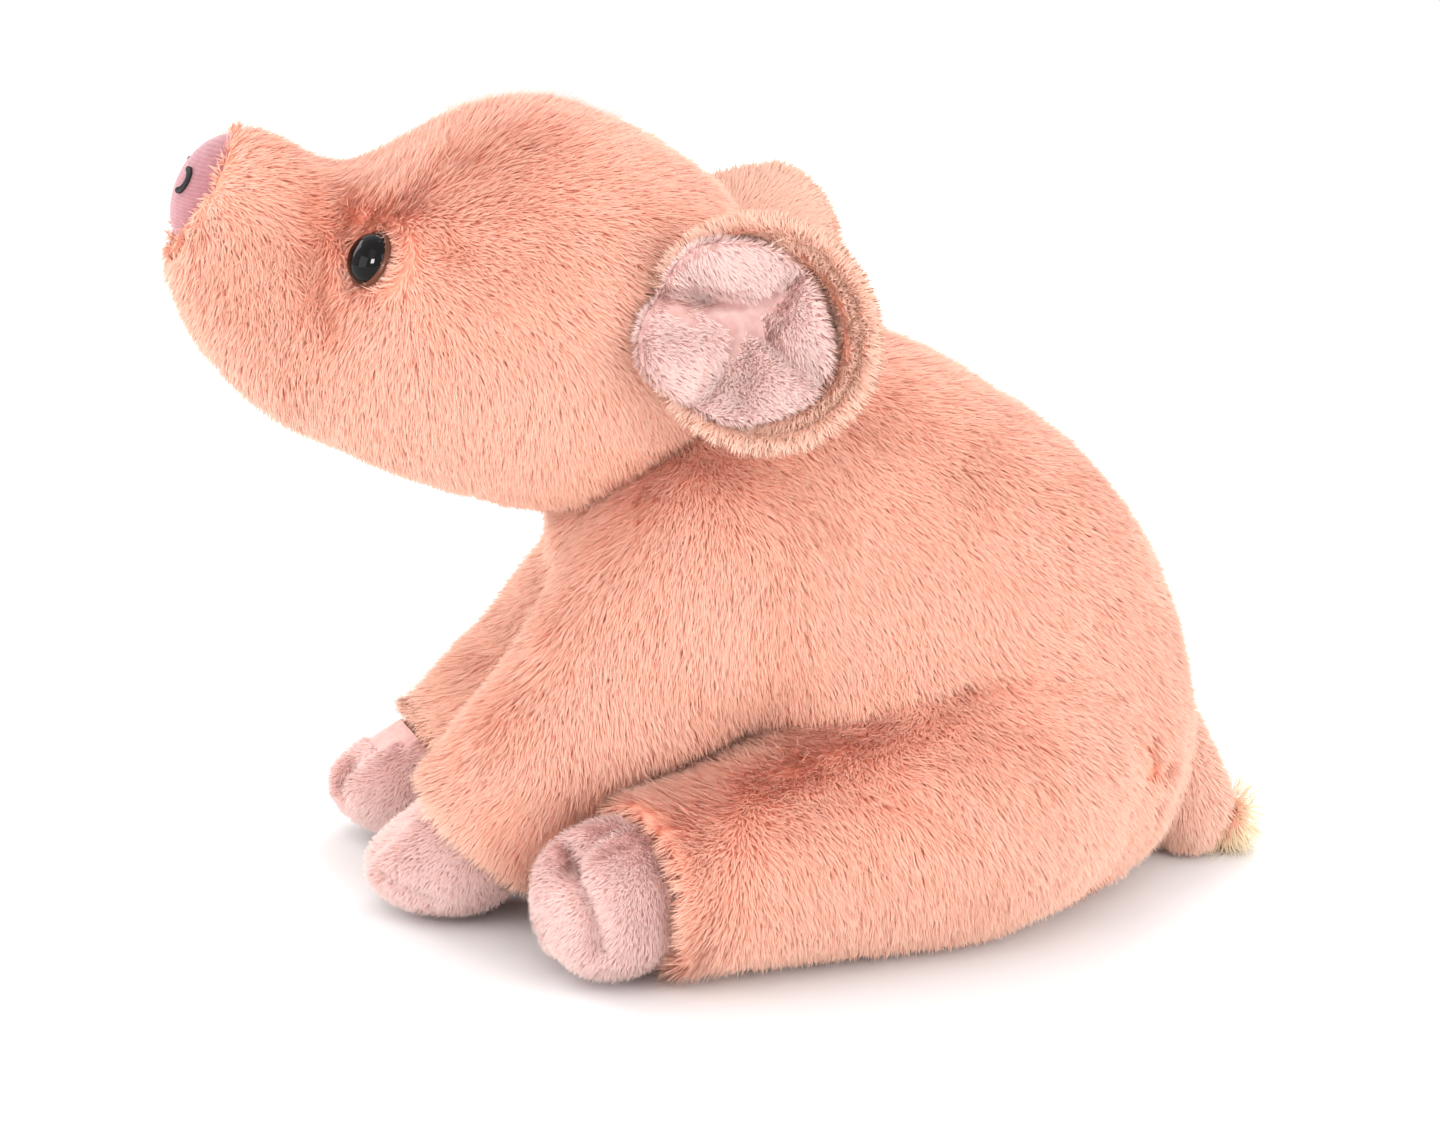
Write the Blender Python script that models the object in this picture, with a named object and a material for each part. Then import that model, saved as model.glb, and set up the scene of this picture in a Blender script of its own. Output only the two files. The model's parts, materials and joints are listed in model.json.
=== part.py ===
"""Sitting plush pig, a soft toy of long-pile fabric over stuffing.

The pig faces -X and looks up, +Z is up and its left side is at -Y. The origin is the middle of the
flat patch that its seat rests on. Metres. A form is lofted through a few rows of shares, chosen by
hand, of the named sizes of the piece that it belongs to.
"""
import math

import bmesh
import bpy
import numpy as np
from mathutils import Matrix, Vector

# Fabric and clearances
SEAM_GAP = 0.0003          # space kept between two pieces that are sewn or seated together
FABRIC_THICKNESS = 0.0035  # backing and the dense foot of the pile
FLAT_DEPTH = 0.0005        # how deep the resting patches are pressed into each form
OVERRUN = 0.004            # how far a cutter runs past what it cuts

# Body
BODY_LENGTH = 0.190
BODY_HEIGHT = 0.158
BODY_WIDTH = 0.112
NECK_HOLE_RADIUS = 0.016

# Head
HEAD_LENGTH = 0.156
HEAD_HEIGHT = 0.104
HEAD_WIDTH = 0.103
HEAD_FORWARD_SHARE = 0.6526
HEAD_FORWARD = HEAD_FORWARD_SHARE * BODY_LENGTH       # middle of the skull, ahead of the origin
THROAT_RISE_SHARE = 0.6835
HEAD_MIDDLE_SHARE = 0.5
HEAD_RISE = THROAT_RISE_SHARE * BODY_HEIGHT + HEAD_MIDDLE_SHARE * HEAD_HEIGHT
HEAD_PITCH = math.radians(16.5)
HEAD_TURN = math.radians(8.0)

# Nose pad and its two stitched nostrils
NOSE_RADIUS = 0.0160
NOSE_BULGE = 0.0100
NOSE_TILT = math.radians(8.0)     # the pad looks up out of the head's line
NOSE_TURN = math.radians(5.0)     # and a little to the left
NOSE_REACH_SHARE = 0.6026
NOSE_REACH = NOSE_REACH_SHARE * HEAD_LENGTH       # seat of the pad, ahead of the middle of the skull
NOSE_RISE_SHARE = -0.024
NOSE_RISE = NOSE_RISE_SHARE * HEAD_HEIGHT
NOSTRIL_OFFSET = 0.0072
NOSTRIL_HEIGHT = 0.0078
NOSTRIL_WIDTH = 0.0056
NOSTRIL_THREAD_RADIUS = 0.0006
NOSTRIL_SWEEP = math.radians(230.0)   # each nostril is an arc, open toward the middle of the pad
NOSTRIL_LIFT = 0.0006      # space between the thread and the pad

# Eyes: a domed button, its shank and the washer that locks it inside the head
EYE_RADIUS = 0.0076
EYE_BULGE = 0.0052
EYE_RIM = 0.0010
EYE_FORWARD_SHARE = 0.3429
EYE_FORWARD = EYE_FORWARD_SHARE * HEAD_LENGTH
EYE_RISE_SHARE = -0.0144
EYE_RISE = EYE_RISE_SHARE * HEAD_HEIGHT
EYE_SINK = 0.0012          # how deep the back of the dome is pulled into the face
EYE_YAW = math.radians(65.0)
EYE_TILT = math.radians(10.0)
SHANK_RADIUS = 0.0017
SHANK_LENGTH = 0.0085
WASHER_RADIUS = 0.0060
WASHER_THICKNESS = 0.0014
WASHER_DEPTH = 0.0052      # outer face of the washer, below the back of the eye

# Ears
EAR_LENGTH = 0.060
EAR_WIDTH = 0.057
EAR_THICKNESS = 0.0032
EAR_RIM_THICKNESS = 0.0068
EAR_CUP = 0.0075
LINING_THICKNESS = 0.0030
LINING_FOLD = 0.0026
EAR_BACKSET_SHARE = 0.1154
EAR_BACKSET = EAR_BACKSET_SHARE * HEAD_LENGTH       # root line, behind the middle of the skull
EAR_ROOT_RISE_SHARE = 0.1923
EAR_ROOT_RISE = EAR_ROOT_RISE_SHARE * HEAD_HEIGHT
EAR_ROOT_SINK = 0.0020     # how far the root starts inside the head before it is cut
EAR_FLARE = {"left": math.radians(24.0), "right": math.radians(7.0)}
EAR_LEAN = {"left": math.radians(4.0), "right": math.radians(3.0)}
EAR_RANGE = (math.radians(-8.0), math.radians(42.0))

# Front legs
FRONT_LEG_HEIGHT = 0.067
FRONT_LEG_WIDTH = 0.046
# In the photographed pose the right foreleg leans further back than the left
LEFT_SHOULDER_FORWARD_SHARE = 0.4550
RIGHT_SHOULDER_FORWARD_SHARE = 0.3750
SHOULDER_FORWARD = {"left": LEFT_SHOULDER_FORWARD_SHARE * BODY_LENGTH,
                    "right": RIGHT_SHOULDER_FORWARD_SHARE * BODY_LENGTH}
SHOULDER_SPREAD_SHARE = 0.3304
SHOULDER_SPREAD = SHOULDER_SPREAD_SHARE * BODY_WIDTH
SHOULDER_RISE_SHARE = 0.6139
SHOULDER_RISE = SHOULDER_RISE_SHARE * BODY_HEIGHT
FRONT_FOOT_FORWARD_SHARE = 0.7526
FRONT_FOOT_FORWARD = FRONT_FOOT_FORWARD_SHARE * BODY_LENGTH
FRONT_FOOT_SPREAD_SHARE = 0.2600
FRONT_FOOT_SPREAD = FRONT_FOOT_SPREAD_SHARE * BODY_WIDTH
FRONT_FOOT_RISE = 0.0228
FRONT_LEG_RANGE = (0.0, math.radians(16.0))        # forward from the planted pose

# Rear legs, which lie forward along the floor and splay outward
REAR_LEG_HEIGHT = 0.068
REAR_LEG_WIDTH = 0.069
HIP_FORWARD_SHARE = 0.0421
HIP_FORWARD = HIP_FORWARD_SHARE * BODY_LENGTH
HIP_SPREAD_SHARE = 0.375
HIP_SPREAD = HIP_SPREAD_SHARE * BODY_WIDTH
HIP_RISE = 0.0350
REAR_FOOT_FORWARD_SHARE = 0.5800
REAR_FOOT_FORWARD = REAR_FOOT_FORWARD_SHARE * BODY_LENGTH
REAR_FOOT_SPREAD_SHARE = 0.6600
REAR_FOOT_SPREAD = REAR_FOOT_SPREAD_SHARE * BODY_WIDTH
REAR_FOOT_RISE = 0.0228
REAR_LEG_RANGE = (0.0, math.radians(25.0))         # outward from the photographed pose
REAR_CREASE_FORWARD_SHARE = -0.1053
# The rear crease is where the back of the thigh folds against the rump
REAR_CREASE_FORWARD = REAR_CREASE_FORWARD_SHARE * BODY_LENGTH
REAR_CREASE_SPREAD_SHARE = 0.4643
REAR_CREASE_SPREAD = REAR_CREASE_SPREAD_SHARE * BODY_WIDTH

# Hooves
FRONT_HOOF_LENGTH = 0.030
FRONT_HOOF_HEIGHT = 0.0345
FRONT_HOOF_WIDTH = 0.038
REAR_HOOF_LENGTH = 0.030
REAR_HOOF_HEIGHT = 0.0425
REAR_HOOF_WIDTH = 0.040
FRONT_HOOF_DROOP = math.radians(-21.0)   # a front hoof bends forward out of its leg's line
REAR_HOOF_DROOP = math.radians(3.0)
CLEFT_DEPTH_SHARE = 0.30
CLEFT_UNDER_SHARE = 0.60   # depth of the cleft under the hoof
CLEFT_ANGLE = math.radians(17.0)

# Tail
TAIL_LENGTH = 0.044
TAIL_WIDTH = 0.027
TAIL_FORWARD_SHARE = -0.3290
TAIL_FORWARD = TAIL_FORWARD_SHARE * BODY_LENGTH
TAIL_RISE_SHARE = 0.2658
TAIL_RISE = TAIL_RISE_SHARE * BODY_HEIGHT
TAIL_LEAN = math.radians(16.0)
TAIL_AXIS = (0.0, -1.0, 0.0)
TAIL_RANGE = (0.0, math.radians(60.0))
TUFT_LENGTH = 0.0095
TUFT_WIDTH = 0.0170
TUFT_PLACE_SHARE = 0.82     # of the tail's length
TUFT_LEAN = math.radians(36.0)
TUFT_SINK = 0.0020

SIDES = {"left": -1.0, "right": 1.0}

# Rows of the body, from the seat to the neck: x and z of its front, x and z of its back, half width
BODY_ROW_SHARES = (
    (-0.155, 0.002, 0.158, 0.002, 0.46),
    (-0.250, 0.026, 0.260, 0.028, 0.74),
    (-0.318, 0.078, 0.310, 0.084, 0.88),
    (-0.375, 0.165, 0.334, 0.190, 0.96),
    (-0.432, 0.255, 0.329, 0.330, 1.00),
    (-0.492, 0.355, 0.289, 0.492, 0.98),
    (-0.563, 0.468, 0.203, 0.655, 0.95),
    (-0.624, 0.570, 0.076, 0.790, 0.89),
    (-0.652, 0.658, -0.062, 0.895, 0.81),
    (-0.635, 0.750, -0.185, 0.960, 0.68),
    (-0.582, 0.838, -0.302, 0.992, 0.46),
)
BODY_NECK_SHARES = (-0.455, 0.955)

# Rows of the head, from its back to the snout: reach, top, underside, half width
HEAD_ROW_SHARES = (
    (-0.322, 0.163, -0.183, 0.33),
    (-0.270, 0.290, -0.317, 0.60),
    (-0.180, 0.404, -0.442, 0.83),
    (-0.052, 0.470, -0.505, 0.97),
    (0.078, 0.474, -0.519, 1.00),
    (0.192, 0.428, -0.510, 0.95),
    (0.295, 0.338, -0.486, 0.84),
    (0.372, 0.226, -0.476, 0.69),
    (0.436, 0.158, -0.456, 0.54),
    (0.500, 0.144, -0.424, 0.455),
    (0.564, 0.150, -0.374, 0.415),
    (0.615, 0.138, -0.305, 0.365),
    (0.648, 0.092, -0.240, 0.27),
)
HEAD_BACK_SHARES = (-0.340, -0.010)
HEAD_CHIN_SHARES = (0.664, -0.130)

# Rows of a leg: place along its line, half height, half width
FRONT_LEG_ROW_SHARES = (
    (-0.29, 0.24, 0.36),
    (-0.22, 0.40, 0.50),
    (-0.08, 0.49, 0.56),
    (0.12, 0.50, 0.55),
    (0.36, 0.43, 0.51),
    (0.60, 0.37, 0.48),
    (0.82, 0.335, 0.46),
    (1.00, 0.320, 0.45),
)
FRONT_LEG_TOP_SHARE = -0.32
REAR_LEG_ROW_SHARES = (
    (-0.50, 0.20, 0.17),
    (-0.37, 0.36, 0.32),
    (-0.20, 0.46, 0.42),
    (-0.02, 0.51, 0.49),
    (0.16, 0.510, 0.505),
    (0.38, 0.450, 0.470),
    (0.62, 0.378, 0.426),
    (0.84, 0.324, 0.388),
    (1.00, 0.306, 0.364),
)
REAR_LEG_TOP_SHARE = -0.55

# Rows of a hoof: place along it, half height, half width, depth of the cleft
HOOF_ROW_SHARES = (
    (0.00, 0.47, 0.46, 0.00),
    (0.22, 0.50, 0.50, 0.25),
    (0.48, 0.49, 0.51, 0.70),
    (0.72, 0.42, 0.45, 1.00),
    (0.88, 0.30, 0.33, 1.00),
    (0.97, 0.15, 0.17, 0.60),
)
TAIL_ROW_SHARES = (
    (-0.05, 0.18, 0.18),
    (0.08, 0.30, 0.30),
    (0.32, 0.40, 0.42),
    (0.60, 0.50, 0.50),
    (0.82, 0.42, 0.44),
    (0.94, 0.24, 0.26),
)
TUFT_ROW_SHARES = (
    (0.00, 0.30, 0.34),
    (0.25, 0.46, 0.50),
    (0.60, 0.40, 0.46),
    (0.88, 0.20, 0.24),
)

# Outline of the lining and the rings of each face, as shares of the ear's outline
LINING_SHARE = 0.76
EAR_RING_SHARES = (0.18, 0.40, 0.60, 0.76, 0.84, 0.93, 1.00)
LINING_RING_SHARES = (0.18, 0.36, 0.52, 0.66, 0.74)
LINING_EDGE_SHARE = 0.4    # thickness left at the lining's turned edge
LINING_EDGE_POWER = 6      # how late the lining thins toward that edge

# Facets
BODY_SEGMENTS = 32
HEAD_SEGMENTS = 32
CORE_SEGMENTS = 16
LEG_SEGMENTS = 24
HOOF_SEGMENTS = 24
TAIL_SEGMENTS = 16
NOSE_SEGMENTS = 32
NOSTRIL_POINTS = 16
DOME_STEPS = 6
LINING_FOLDS = 3
EAR_SEGMENTS = 24
ROUND_SEGMENTS = 24
ROWS_BETWEEN = 2
CORE_ROWS_BETWEEN = 1

# Powers of the rounded sections: 2 is an ellipse and more is fuller
BODY_FULLNESS = 2.15
HEAD_FULLNESS = 2.1
LIMB_FULLNESS = 2.15
REAR_LEG_FULLNESS = 2.35    # a rear leg is pressed fuller by the floor that it lies on
SWEEP_STEP = math.radians(7.5)


# Scene and materials
def clear_scene():
    for old in list(bpy.data.objects):
        bpy.data.objects.remove(old, do_unlink=True)


def fabric(name, color, roughness=0.95):
    material = bpy.data.materials.new(name)
    material.use_nodes = True
    shader = material.node_tree.nodes["Principled BSDF"]
    shader.inputs["Base Color"].default_value = (*color, 1.0)
    shader.inputs["Roughness"].default_value = roughness
    material.diffuse_color = (*color, 1.0)
    return material


# Mesh helpers
def new_piece(name, vertices, faces, material, pivot=None):
    """A closed solid as its own object, with its origin at the pivot."""
    pivot = Vector(pivot) if pivot is not None else Vector()
    mesh = bpy.data.meshes.new(name)
    mesh.from_pydata([Vector(v) - pivot for v in vertices], [], faces)
    shaper = bmesh.new()
    shaper.from_mesh(mesh)
    bmesh.ops.recalc_face_normals(shaper, faces=shaper.faces)
    shaper.to_mesh(mesh)
    shaper.free()
    mesh.shade_smooth()
    if material is not None:
        mesh.materials.append(material)
    piece = bpy.data.objects.new(name, mesh)
    piece.location = pivot
    bpy.context.collection.objects.link(piece)
    return piece


def smooth_rows(rows, between=ROWS_BETWEEN):
    """The rows with more between them, on a smooth curve through every one."""
    rows = np.array(rows, dtype=float)
    padded = np.vstack([2.0 * rows[0] - rows[1], rows, 2.0 * rows[-1] - rows[-2]])
    out = []
    for i in range(1, len(padded) - 2):
        p0, p1, p2, p3 = padded[i - 1:i + 3]
        for k in range(between):
            t = k / between
            out.append(0.5 * (2 * p1 + (p2 - p0) * t + (2 * p0 - 5 * p1 + 4 * p2 - p3) * t * t
                              + (3 * p1 - p0 - 3 * p2 + p3) * t * t * t))
    out.append(rows[-1])
    return out


def ring(centre, across, up, segments, fullness=2.0, dent=None):
    """Points of a rounded section: a superellipse, or one with dents where dent says so."""
    points = []
    for k in range(segments):
        angle = 2.0 * math.pi * k / segments
        c, s = math.cos(angle), math.sin(angle)
        radius = (abs(c) ** fullness + abs(s) ** fullness) ** (-1.0 / fullness)
        if dent is not None:
            radius *= dent(angle)
        points.append(centre + across * (c * radius) + up * (s * radius))
    return points


def loft(rings, start=None, end=None):
    """Vertices and faces of a solid through the rings; an end with no pole point is a flat cap."""
    segments = len(rings[0])
    vertices = [p for points in rings for p in points]
    faces = []
    for i in range(len(rings) - 1):
        for k in range(segments):
            after = (k + 1) % segments
            faces.append((i * segments + k, i * segments + after,
                          (i + 1) * segments + after, (i + 1) * segments + k))
    first = list(range(segments))
    last = [(len(rings) - 1) * segments + k for k in range(segments)]
    for loop, pole in ((first, start), (last, end)):
        if pole is None:
            faces.append(tuple(loop))
            continue
        vertices.append(pole)
        tip = len(vertices) - 1
        faces.extend((loop[k], loop[(k + 1) % segments], tip) for k in range(segments))
    return vertices, faces


def grown(vertices, faces, distance):
    """The vertices moved outward along their normals, or inward by a negative distance."""
    shaper = bmesh.new()
    points = [shaper.verts.new(v) for v in vertices]
    for face in faces:
        shaper.faces.new([points[i] for i in face])
    bmesh.ops.recalc_face_normals(shaper, faces=shaper.faces)
    shaper.normal_update()
    moved = [v.co + v.normal * distance for v in points]
    shaper.free()
    return moved


def turned_solid(profile, segments, frame):
    """A solid turned about the frame's Z axis from (radius, height) points between two poles."""
    rings = []
    for radius, height in profile[1:-1]:
        rings.append([frame @ Vector((radius * math.cos(a), radius * math.sin(a), height))
                      for a in (2.0 * math.pi * k / segments for k in range(segments))])
    poles = [frame @ Vector((0.0, 0.0, profile[i][1])) for i in (0, -1)]
    return loft(rings, poles[0], poles[1])


def as_cutter(name, vertices, faces):
    cutter = new_piece(name, vertices, faces, None)
    cutter.hide_render = True
    cutter.display_type = 'WIRE'
    return cutter


def cut(piece, cutter, solver='EXACT'):
    """Take the cutter's volume out of the piece."""
    modifier = piece.modifiers.new(cutter.name, 'BOOLEAN')
    modifier.operation = 'DIFFERENCE'
    modifier.solver = solver
    modifier.object = cutter


def sweep_angles(limits):
    steps = max(1, math.ceil((limits[1] - limits[0]) / SWEEP_STEP))
    return [limits[0] + (limits[1] - limits[0]) * k / steps for k in range(steps + 1)]


def cut_by_sweep(piece, larger, pivot, axis, limits):
    """Cut a piece that turns on a hinge by the larger form that it turns against.

    Turned copies of one form lie close together, where the exact solver can lose the whole piece.
    """
    there, back = Matrix.Translation(pivot), Matrix.Translation(-Vector(pivot))
    for number, angle in enumerate(sweep_angles(limits)):
        cutter = bpy.data.objects.new(f"{piece.name}_{larger.name}_{number}", larger.data)
        cutter.matrix_world = there @ Matrix.Rotation(-angle, 4, axis) @ back
        cutter.hide_render = True
        cutter.display_type = 'WIRE'
        bpy.context.collection.objects.link(cutter)
        cut(piece, cutter, 'MANIFOLD')


# Body
def body_form(segments=BODY_SEGMENTS, between=ROWS_BETWEEN):
    rows = []
    for front_x, front_z, back_x, back_z, half_width in smooth_rows(BODY_ROW_SHARES, between):
        front = Vector((front_x * BODY_LENGTH, 0.0, front_z * BODY_HEIGHT))
        back = Vector((back_x * BODY_LENGTH, 0.0, back_z * BODY_HEIGHT))
        across = (back - front) / 2.0
        rows.append(ring((front + back) / 2.0, across, Vector((0.0, half_width * BODY_WIDTH / 2.0, 0.0)),
                         segments, BODY_FULLNESS))
    seat = Vector((0.0, 0.0, -FLAT_DEPTH))
    neck = Vector((BODY_NECK_SHARES[0] * BODY_LENGTH, 0.0, BODY_NECK_SHARES[1] * BODY_HEIGHT))
    return loft(rows, seat, neck)


def build_body(materials, floor):
    vertices, faces = body_form()
    body = new_piece("body_fur", vertices, faces, materials["fur"])
    inner, inner_faces = body_form(CORE_SEGMENTS, CORE_ROWS_BETWEEN)
    cavity = as_cutter("body_cavity", grown(inner, inner_faces, -FABRIC_THICKNESS), inner_faces)
    neck = Vector((BODY_NECK_SHARES[0] * BODY_LENGTH, 0.0, BODY_NECK_SHARES[1] * BODY_HEIGHT))
    middle = Vector((neck.x / 2.0, 0.0, BODY_HEIGHT / 2.0))
    upward = (neck - middle).normalized()
    frame = Matrix.Translation(neck) @ upward.to_track_quat('Z', 'Y').to_matrix().to_4x4()
    reach = FABRIC_THICKNESS + OVERRUN
    hole = as_cutter("neck_hole", *turned_solid(
        ((0.0, reach), (NECK_HOLE_RADIUS, reach), (NECK_HOLE_RADIUS, -reach), (0.0, -reach)),
        ROUND_SEGMENTS, frame))
    for cutter in (cavity, hole, floor):
        cut(body, cutter)
    filling = new_piece("body_stuffing", grown(inner, inner_faces, -FABRIC_THICKNESS - SEAM_GAP),
                        inner_faces, materials["stuffing"])
    cut(filling, floor)
    return as_cutter("body_clearance", grown(vertices, faces, SEAM_GAP), faces)


# Head
def head_frame():
    """Local X runs out of the right side, Y out of the snout and Z out of the crown."""
    ahead = Vector((-math.cos(HEAD_PITCH) * math.cos(HEAD_TURN), math.cos(HEAD_PITCH) * math.sin(HEAD_TURN),
                    math.sin(HEAD_PITCH)))
    right = Vector((math.sin(HEAD_TURN), math.cos(HEAD_TURN), 0.0))
    crown = right.cross(ahead)
    turn = Matrix((right, ahead, crown)).transposed().to_4x4()
    return Matrix.Translation((-HEAD_FORWARD, 0.0, HEAD_RISE)) @ turn


def head_form(frame, segments=HEAD_SEGMENTS, between=ROWS_BETWEEN):
    rows = []
    for reach, top, underside, half_width in smooth_rows(HEAD_ROW_SHARES, between):
        centre = Vector((0.0, reach * HEAD_LENGTH, (top + underside) / 2.0 * HEAD_HEIGHT))
        across = Vector((half_width * HEAD_WIDTH / 2.0, 0.0, 0.0))
        up = Vector((0.0, 0.0, (top - underside) / 2.0 * HEAD_HEIGHT))
        rows.append([frame @ p for p in ring(centre, across, up, segments, HEAD_FULLNESS)])
    poles = [frame @ Vector((0.0, reach * HEAD_LENGTH, rise * HEAD_HEIGHT))
             for reach, rise in (HEAD_BACK_SHARES, HEAD_CHIN_SHARES)]
    return loft(rows, poles[0], poles[1])


def head_side(reach, rise):
    """How far out the head's surface is, at a reach ahead of the skull's middle and a rise above it."""
    rows = np.array(smooth_rows(HEAD_ROW_SHARES))
    top, underside, half_width = (np.interp(reach / HEAD_LENGTH, rows[:, 0], rows[:, i]) for i in (1, 2, 3))
    middle = (top + underside) / 2.0 * HEAD_HEIGHT
    share = abs(rise - middle) / ((top - underside) / 2.0 * HEAD_HEIGHT)
    return half_width * HEAD_WIDTH / 2.0 * (1.0 - share ** HEAD_FULLNESS) ** (1.0 / HEAD_FULLNESS)


def eye_frame(head, side):
    """Local Z looks out of the eye and the origin is at the back of its dome."""
    sign = SIDES[side]
    place = Vector((sign * (head_side(EYE_FORWARD, EYE_RISE) - EYE_SINK), EYE_FORWARD, EYE_RISE))
    look = Vector((sign * math.cos(EYE_YAW) * math.cos(EYE_TILT), math.sin(EYE_YAW) * math.cos(EYE_TILT),
                   math.sin(EYE_TILT)))
    turn = look.to_track_quat('Z', 'Y').to_matrix().to_4x4()
    return head @ Matrix.Translation(place) @ turn


def dome_profile(radius, bulge, rim):
    """Half section of a dome on a straight rim, from its crown down to the rim's foot."""
    points = [(0.0, rim + bulge)]
    for k in range(1, DOME_STEPS + 1):
        angle = math.pi / 2.0 * k / DOME_STEPS
        points.append((radius * math.sin(angle), rim + bulge * math.cos(angle)))
    points.append((radius, 0.0))
    return points


def build_eye(head, side, materials):
    """The button and its washer; returns the form of the seat that they take in the head."""
    frame = eye_frame(head, side)
    profile = dome_profile(EYE_RADIUS, EYE_BULGE, EYE_RIM)
    profile += [(SHANK_RADIUS, 0.0), (SHANK_RADIUS, -SHANK_LENGTH), (0.0, -SHANK_LENGTH)]
    new_piece(f"eye_{side}", *turned_solid(profile, ROUND_SEGMENTS, frame), materials["eye"])
    hole_radius = SHANK_RADIUS + SEAM_GAP
    near = -WASHER_DEPTH
    far = near - WASHER_THICKNESS
    section = ((WASHER_RADIUS, near), (WASHER_RADIUS, far), (hole_radius, far), (hole_radius, near))
    rings = [[frame @ Vector((r * math.cos(a), r * math.sin(a), z))
              for a in (2.0 * math.pi * k / ROUND_SEGMENTS for k in range(ROUND_SEGMENTS))]
             for r, z in section]
    vertices = [p for points in rings for p in points]
    corners = len(section)
    count = ROUND_SEGMENTS
    faces = [(i * count + k, i * count + (k + 1) % count,
              (i + 1) % corners * count + (k + 1) % count, (i + 1) % corners * count + k)
             for i in range(corners) for k in range(count)]
    new_piece(f"eye_washer_{side}", vertices, faces, materials["washer"])
    seat_radius = EYE_RADIUS + SEAM_GAP
    pocket_radius = WASHER_RADIUS + SEAM_GAP
    top = EYE_RIM + EYE_BULGE + OVERRUN
    return as_cutter(f"eye_seat_{side}", *turned_solid(
        ((0.0, top), (seat_radius, top), (seat_radius, -SEAM_GAP), (hole_radius, -SEAM_GAP),
         (hole_radius, near + SEAM_GAP), (pocket_radius, near + SEAM_GAP),
         (pocket_radius, far - SEAM_GAP), (hole_radius, far - SEAM_GAP),
         (hole_radius, -SHANK_LENGTH - SEAM_GAP), (0.0, -SHANK_LENGTH - SEAM_GAP)),
        ROUND_SEGMENTS, frame))


def nose_point(offset_x, offset_z, lift):
    """Point over the pad's dome, in the pad's own frame, lifted along the dome's normal."""
    share = (offset_x ** 2 + offset_z ** 2) / NOSE_RADIUS ** 2
    height = NOSE_BULGE * math.sqrt(1.0 - share)
    normal = Vector((offset_x / NOSE_RADIUS ** 2, height / NOSE_BULGE ** 2, offset_z / NOSE_RADIUS ** 2))
    return Vector((offset_x, height, offset_z)) + normal.normalized() * lift


def build_nose(head, materials):
    """The knitted pad, its seat in the snout and the two stitched nostrils."""
    place = head @ Matrix.Translation((0.0, NOSE_REACH, NOSE_RISE))
    place = place @ Matrix.Rotation(NOSE_TURN, 4, 'Z') @ Matrix.Rotation(NOSE_TILT, 4, 'X')
    forward = place @ Matrix.Rotation(-math.pi / 2.0, 4, 'X')
    profile = dome_profile(NOSE_RADIUS, NOSE_BULGE, SEAM_GAP)[:-1]
    new_piece("nose_pad", *turned_solid(
        profile + [(NOSE_RADIUS, 0.0), (0.0, 0.0)], NOSE_SEGMENTS, forward), materials["nose"])
    seat_radius = NOSE_RADIUS + SEAM_GAP
    seat_top = NOSE_BULGE + OVERRUN
    seat = as_cutter("nose_seat", *turned_solid(
        ((0.0, seat_top), (seat_radius, seat_top), (seat_radius, -SEAM_GAP), (0.0, -SEAM_GAP)),
        NOSE_SEGMENTS, forward))
    for side, direction in SIDES.items():
        curve = bpy.data.curves.new(f"nostril_{side}", 'CURVE')
        curve.dimensions = '3D'
        curve.bevel_depth = NOSTRIL_THREAD_RADIUS
        curve.bevel_resolution = 1
        curve.use_fill_caps = True
        spline = curve.splines.new('POLY')
        spline.points.add(NOSTRIL_POINTS - 1)
        lift = NOSTRIL_THREAD_RADIUS + NOSTRIL_LIFT
        for k in range(NOSTRIL_POINTS):
            angle = NOSTRIL_SWEEP * (k / (NOSTRIL_POINTS - 1) - 0.5)
            point = nose_point(direction * (NOSTRIL_OFFSET + NOSTRIL_WIDTH / 2.0 * math.cos(angle)),
                               NOSTRIL_HEIGHT / 2.0 * math.sin(angle), lift)
            spline.points[k].co = (*(place @ point), 1.0)
        curve.materials.append(materials["thread"])
        nostril = bpy.data.objects.new(f"nostril_{side}", curve)
        bpy.context.collection.objects.link(nostril)
    return seat


def build_head(materials, body_clearance):
    frame = head_frame()
    vertices, faces = head_form(frame)
    head = new_piece("head_fur", vertices, faces, materials["fur"])
    inner, inner_faces = head_form(frame, CORE_SEGMENTS, CORE_ROWS_BETWEEN)
    cavity = as_cutter("head_cavity", grown(inner, inner_faces, -FABRIC_THICKNESS), inner_faces)
    filling = new_piece("head_stuffing", grown(inner, inner_faces, -FABRIC_THICKNESS - SEAM_GAP),
                        inner_faces, materials["stuffing"])
    cut(head, cavity)
    for piece in (head, filling):
        cut(piece, body_clearance)
    nose_seat = build_nose(frame, materials)
    for piece in (head, filling):
        cut(piece, nose_seat)
    for side in SIDES:
        seat = build_eye(frame, side, materials)
        cut(head, seat)
        cut(filling, seat)
    return as_cutter("head_clearance", grown(vertices, faces, SEAM_GAP), faces)


# Ears
def ear_pivot(head, side):
    sign = SIDES[side]
    return head @ Vector((sign * head_side(-EAR_BACKSET, EAR_ROOT_RISE), -EAR_BACKSET, EAR_ROOT_RISE))


def ear_frame(head, side):
    """Local X runs from root to tip, Y along the root line and Z out of the lined face."""
    sign = SIDES[side]
    flare, lean = EAR_FLARE[side], EAR_LEAN[side]
    back = math.cos(flare)
    tip = Vector((sign * math.sin(flare), -back * math.cos(lean), -back * math.sin(lean)))
    root_line = Vector((0.0, -math.sin(lean), math.cos(lean)))
    root_line = (root_line - tip * root_line.dot(tip)).normalized()
    face = tip.cross(root_line) * -sign
    turn = Matrix((tip, root_line, face)).transposed().to_4x4()
    rotation = head.to_3x3().to_4x4() @ turn
    return Matrix.Translation(ear_pivot(head, side)) @ rotation


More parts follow.
